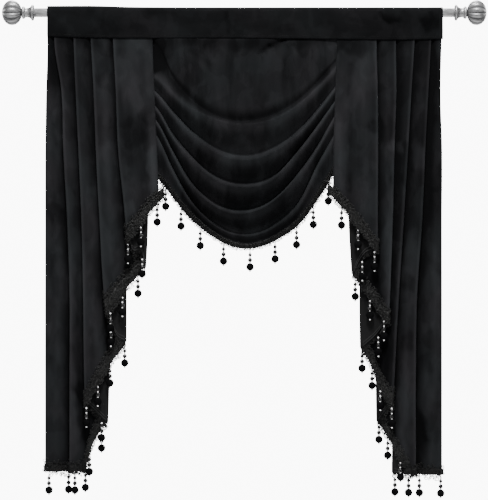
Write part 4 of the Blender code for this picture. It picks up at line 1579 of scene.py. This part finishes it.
# %% Turned metal
def add_turned(name, metal, profile, steps, side, start):
    """A profile of (past, radius) spun round the rod's axis, outwards from a place on it."""
    angles = [math.tau * i / steps for i in range(steps)]
    mesh = bpy.data.meshes.new(name)
    points = [
        (side * (start + past), radius * math.cos(angle), radius * math.sin(angle))
        for past, radius in profile
        for angle in angles
    ]
    faces = [
        (r * steps + i, r * steps + (i + 1) % steps, (r + 1) * steps + (i + 1) % steps, (r + 1) * steps + i)
        for r in range(len(profile) - 1)
        for i in range(steps)
    ]
    faces.append(tuple(range(steps)))
    faces.append(tuple((len(profile) - 1) * steps + i for i in range(steps)))
    mesh.from_pydata([Vector(point) * MM for point in points], [], faces)
    shape = bmesh.new()
    shape.from_mesh(mesh)
    bmesh.ops.recalc_face_normals(shape, faces=shape.faces)
    shape.to_mesh(mesh)
    shape.free()
    mesh.shade_smooth()
    return new_object(name, mesh, metal)


ROD_RADIUS = 12.5
ROD_HALF_LENGTH = 589
SEAM_GAP = 0.3
COLLAR = (
    (0, 19.6), (0.4, 20.6), (1.2, 21.6), (2.4, 22.2), (3.6, 22.3), (4.8, 22.2), (5.8, 21.6),
    (6.5, 20.6), (7.2, 19.2), (8.4, 17.6), (10, 16.0), (12, 14.7), (14.5, 13.6), (17, 13.0),
    (20, 12.7), (22.4, 13.2), (24.2, 14.2), (25.4, 15.2), (26.0, 16.2), (26.8, 17.0),
    (28, 17.4), (29.5, 17.5), (31, 17.3), (32, 16.6), (32.6, 15.8), (33, 14.8),
)
MELON_RADIUS = 35.5
MELON_HALF_LENGTH = 28
MELON_RIBS = 12
MELON_AROUND = 12 * MELON_RIBS
MELON_RINGS = 40
GROOVE_DOWN = -0.11
GROOVE_SHARP = 1.3
GROOVE_DEPTH = 0.15
GROOVE_FROM = 0.4
TURNED_STEPS = 64


def add_melon(name, side):
    """A ribbed ball past the collar, with the depth of its grooves as an attribute."""
    start = ROD_HALF_LENGTH + 2 * SEAM_GAP + COLLAR[-1][0] + MELON_HALF_LENGTH
    mesh = bpy.data.meshes.new(name)
    points, depths = [], []
    for ring in range(MELON_RINGS + 1):
        lift = math.pi * ring / MELON_RINGS
        wide = math.sin(lift)
        for i in range(MELON_AROUND):
            angle = math.tau * i / MELON_AROUND
            groove = (1 - abs(math.sin(MELON_RIBS / 2 * (angle - GROOVE_DOWN)))) ** GROOVE_SHARP
            radius = MELON_RADIUS * wide * (1 - GROOVE_DEPTH * groove * smooth_step(wide / GROOVE_FROM))
            along = -MELON_HALF_LENGTH * math.cos(lift)
            points.append((side * (start + along), -radius * math.cos(angle), radius * math.sin(angle)))
            depths.append(groove * min(1, 0.3 + wide))
    faces = [
        (r * MELON_AROUND + i, r * MELON_AROUND + (i + 1) % MELON_AROUND,
         (r + 1) * MELON_AROUND + (i + 1) % MELON_AROUND, (r + 1) * MELON_AROUND + i)
        for r in range(MELON_RINGS)
        for i in range(MELON_AROUND)
    ]
    mesh.from_pydata([Vector(point) * MM for point in points], [], faces)
    attribute = mesh.attributes.new("groove", "FLOAT", "POINT")
    attribute.data.foreach_set("value", depths)
    shape = bmesh.new()
    shape.from_mesh(mesh)
    bmesh.ops.remove_doubles(shape, verts=shape.verts, dist=1e-6)
    bmesh.ops.recalc_face_normals(shape, faces=shape.faces)
    shape.to_mesh(mesh)
    shape.free()
    mesh.shade_smooth()
    return new_object(name, mesh, FINIAL_PEWTER_PAINTED_DARKER)


tube = [(-ROD_HALF_LENGTH, ROD_RADIUS), (ROD_HALF_LENGTH, ROD_RADIUS)]
rod = add_turned("rod_tube", ROD_PEWTER_PAINTED_LIGHTER, tube, TURNED_STEPS, RIGHT, 0)
rod_end = ROD_HALF_LENGTH + SEAM_GAP
collars, melons = {}, {}
for side, name in TAIL_NAMES.items():
    collars[side] = add_turned(f"collar_{name}", FINIAL_PEWTER_PAINTED_DARKER, COLLAR, TURNED_STEPS, side, rod_end)
    melons[side] = add_melon(f"melon_{name}", side)
print("ribs on a melon", MELON_RIBS)

# %% [markdown]
# ## Putting each piece on the body
#
# Nothing here moves, so every piece rides on the one body. The solids of the measured model that
# a piece stands for are hidden.

# %% Pieces and what they stand for
def place_piece(obj, nodes):
    """Put a piece on the body and hide the solids it stands for."""
    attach(obj, "root")
    if nodes:
        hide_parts(*nodes)


for side, name in TAIL_NAMES.items():
    place_piece(tails[side], [f"tail_{name}"])
    place_piece(tapes[name], [f"tail_trim_{name}"])
    place_piece(loops[name], [])
    place_piece(collars[side], [f"finial_collar_{name}"])
    place_piece(melons[side], [f"finial_melon_{name}"])
    place_piece(stitches[side], [])
place_piece(swag, ["swag_panel"])
place_piece(tapes["swag"], ["swag_trim"])
place_piece(loops["swag"], [])
place_piece(band, ["header_band"])
place_piece(header_stitches, [])
place_piece(rod, ["rod"])
for group in drops.values():
    for piece in group:
        place_piece(piece, [])
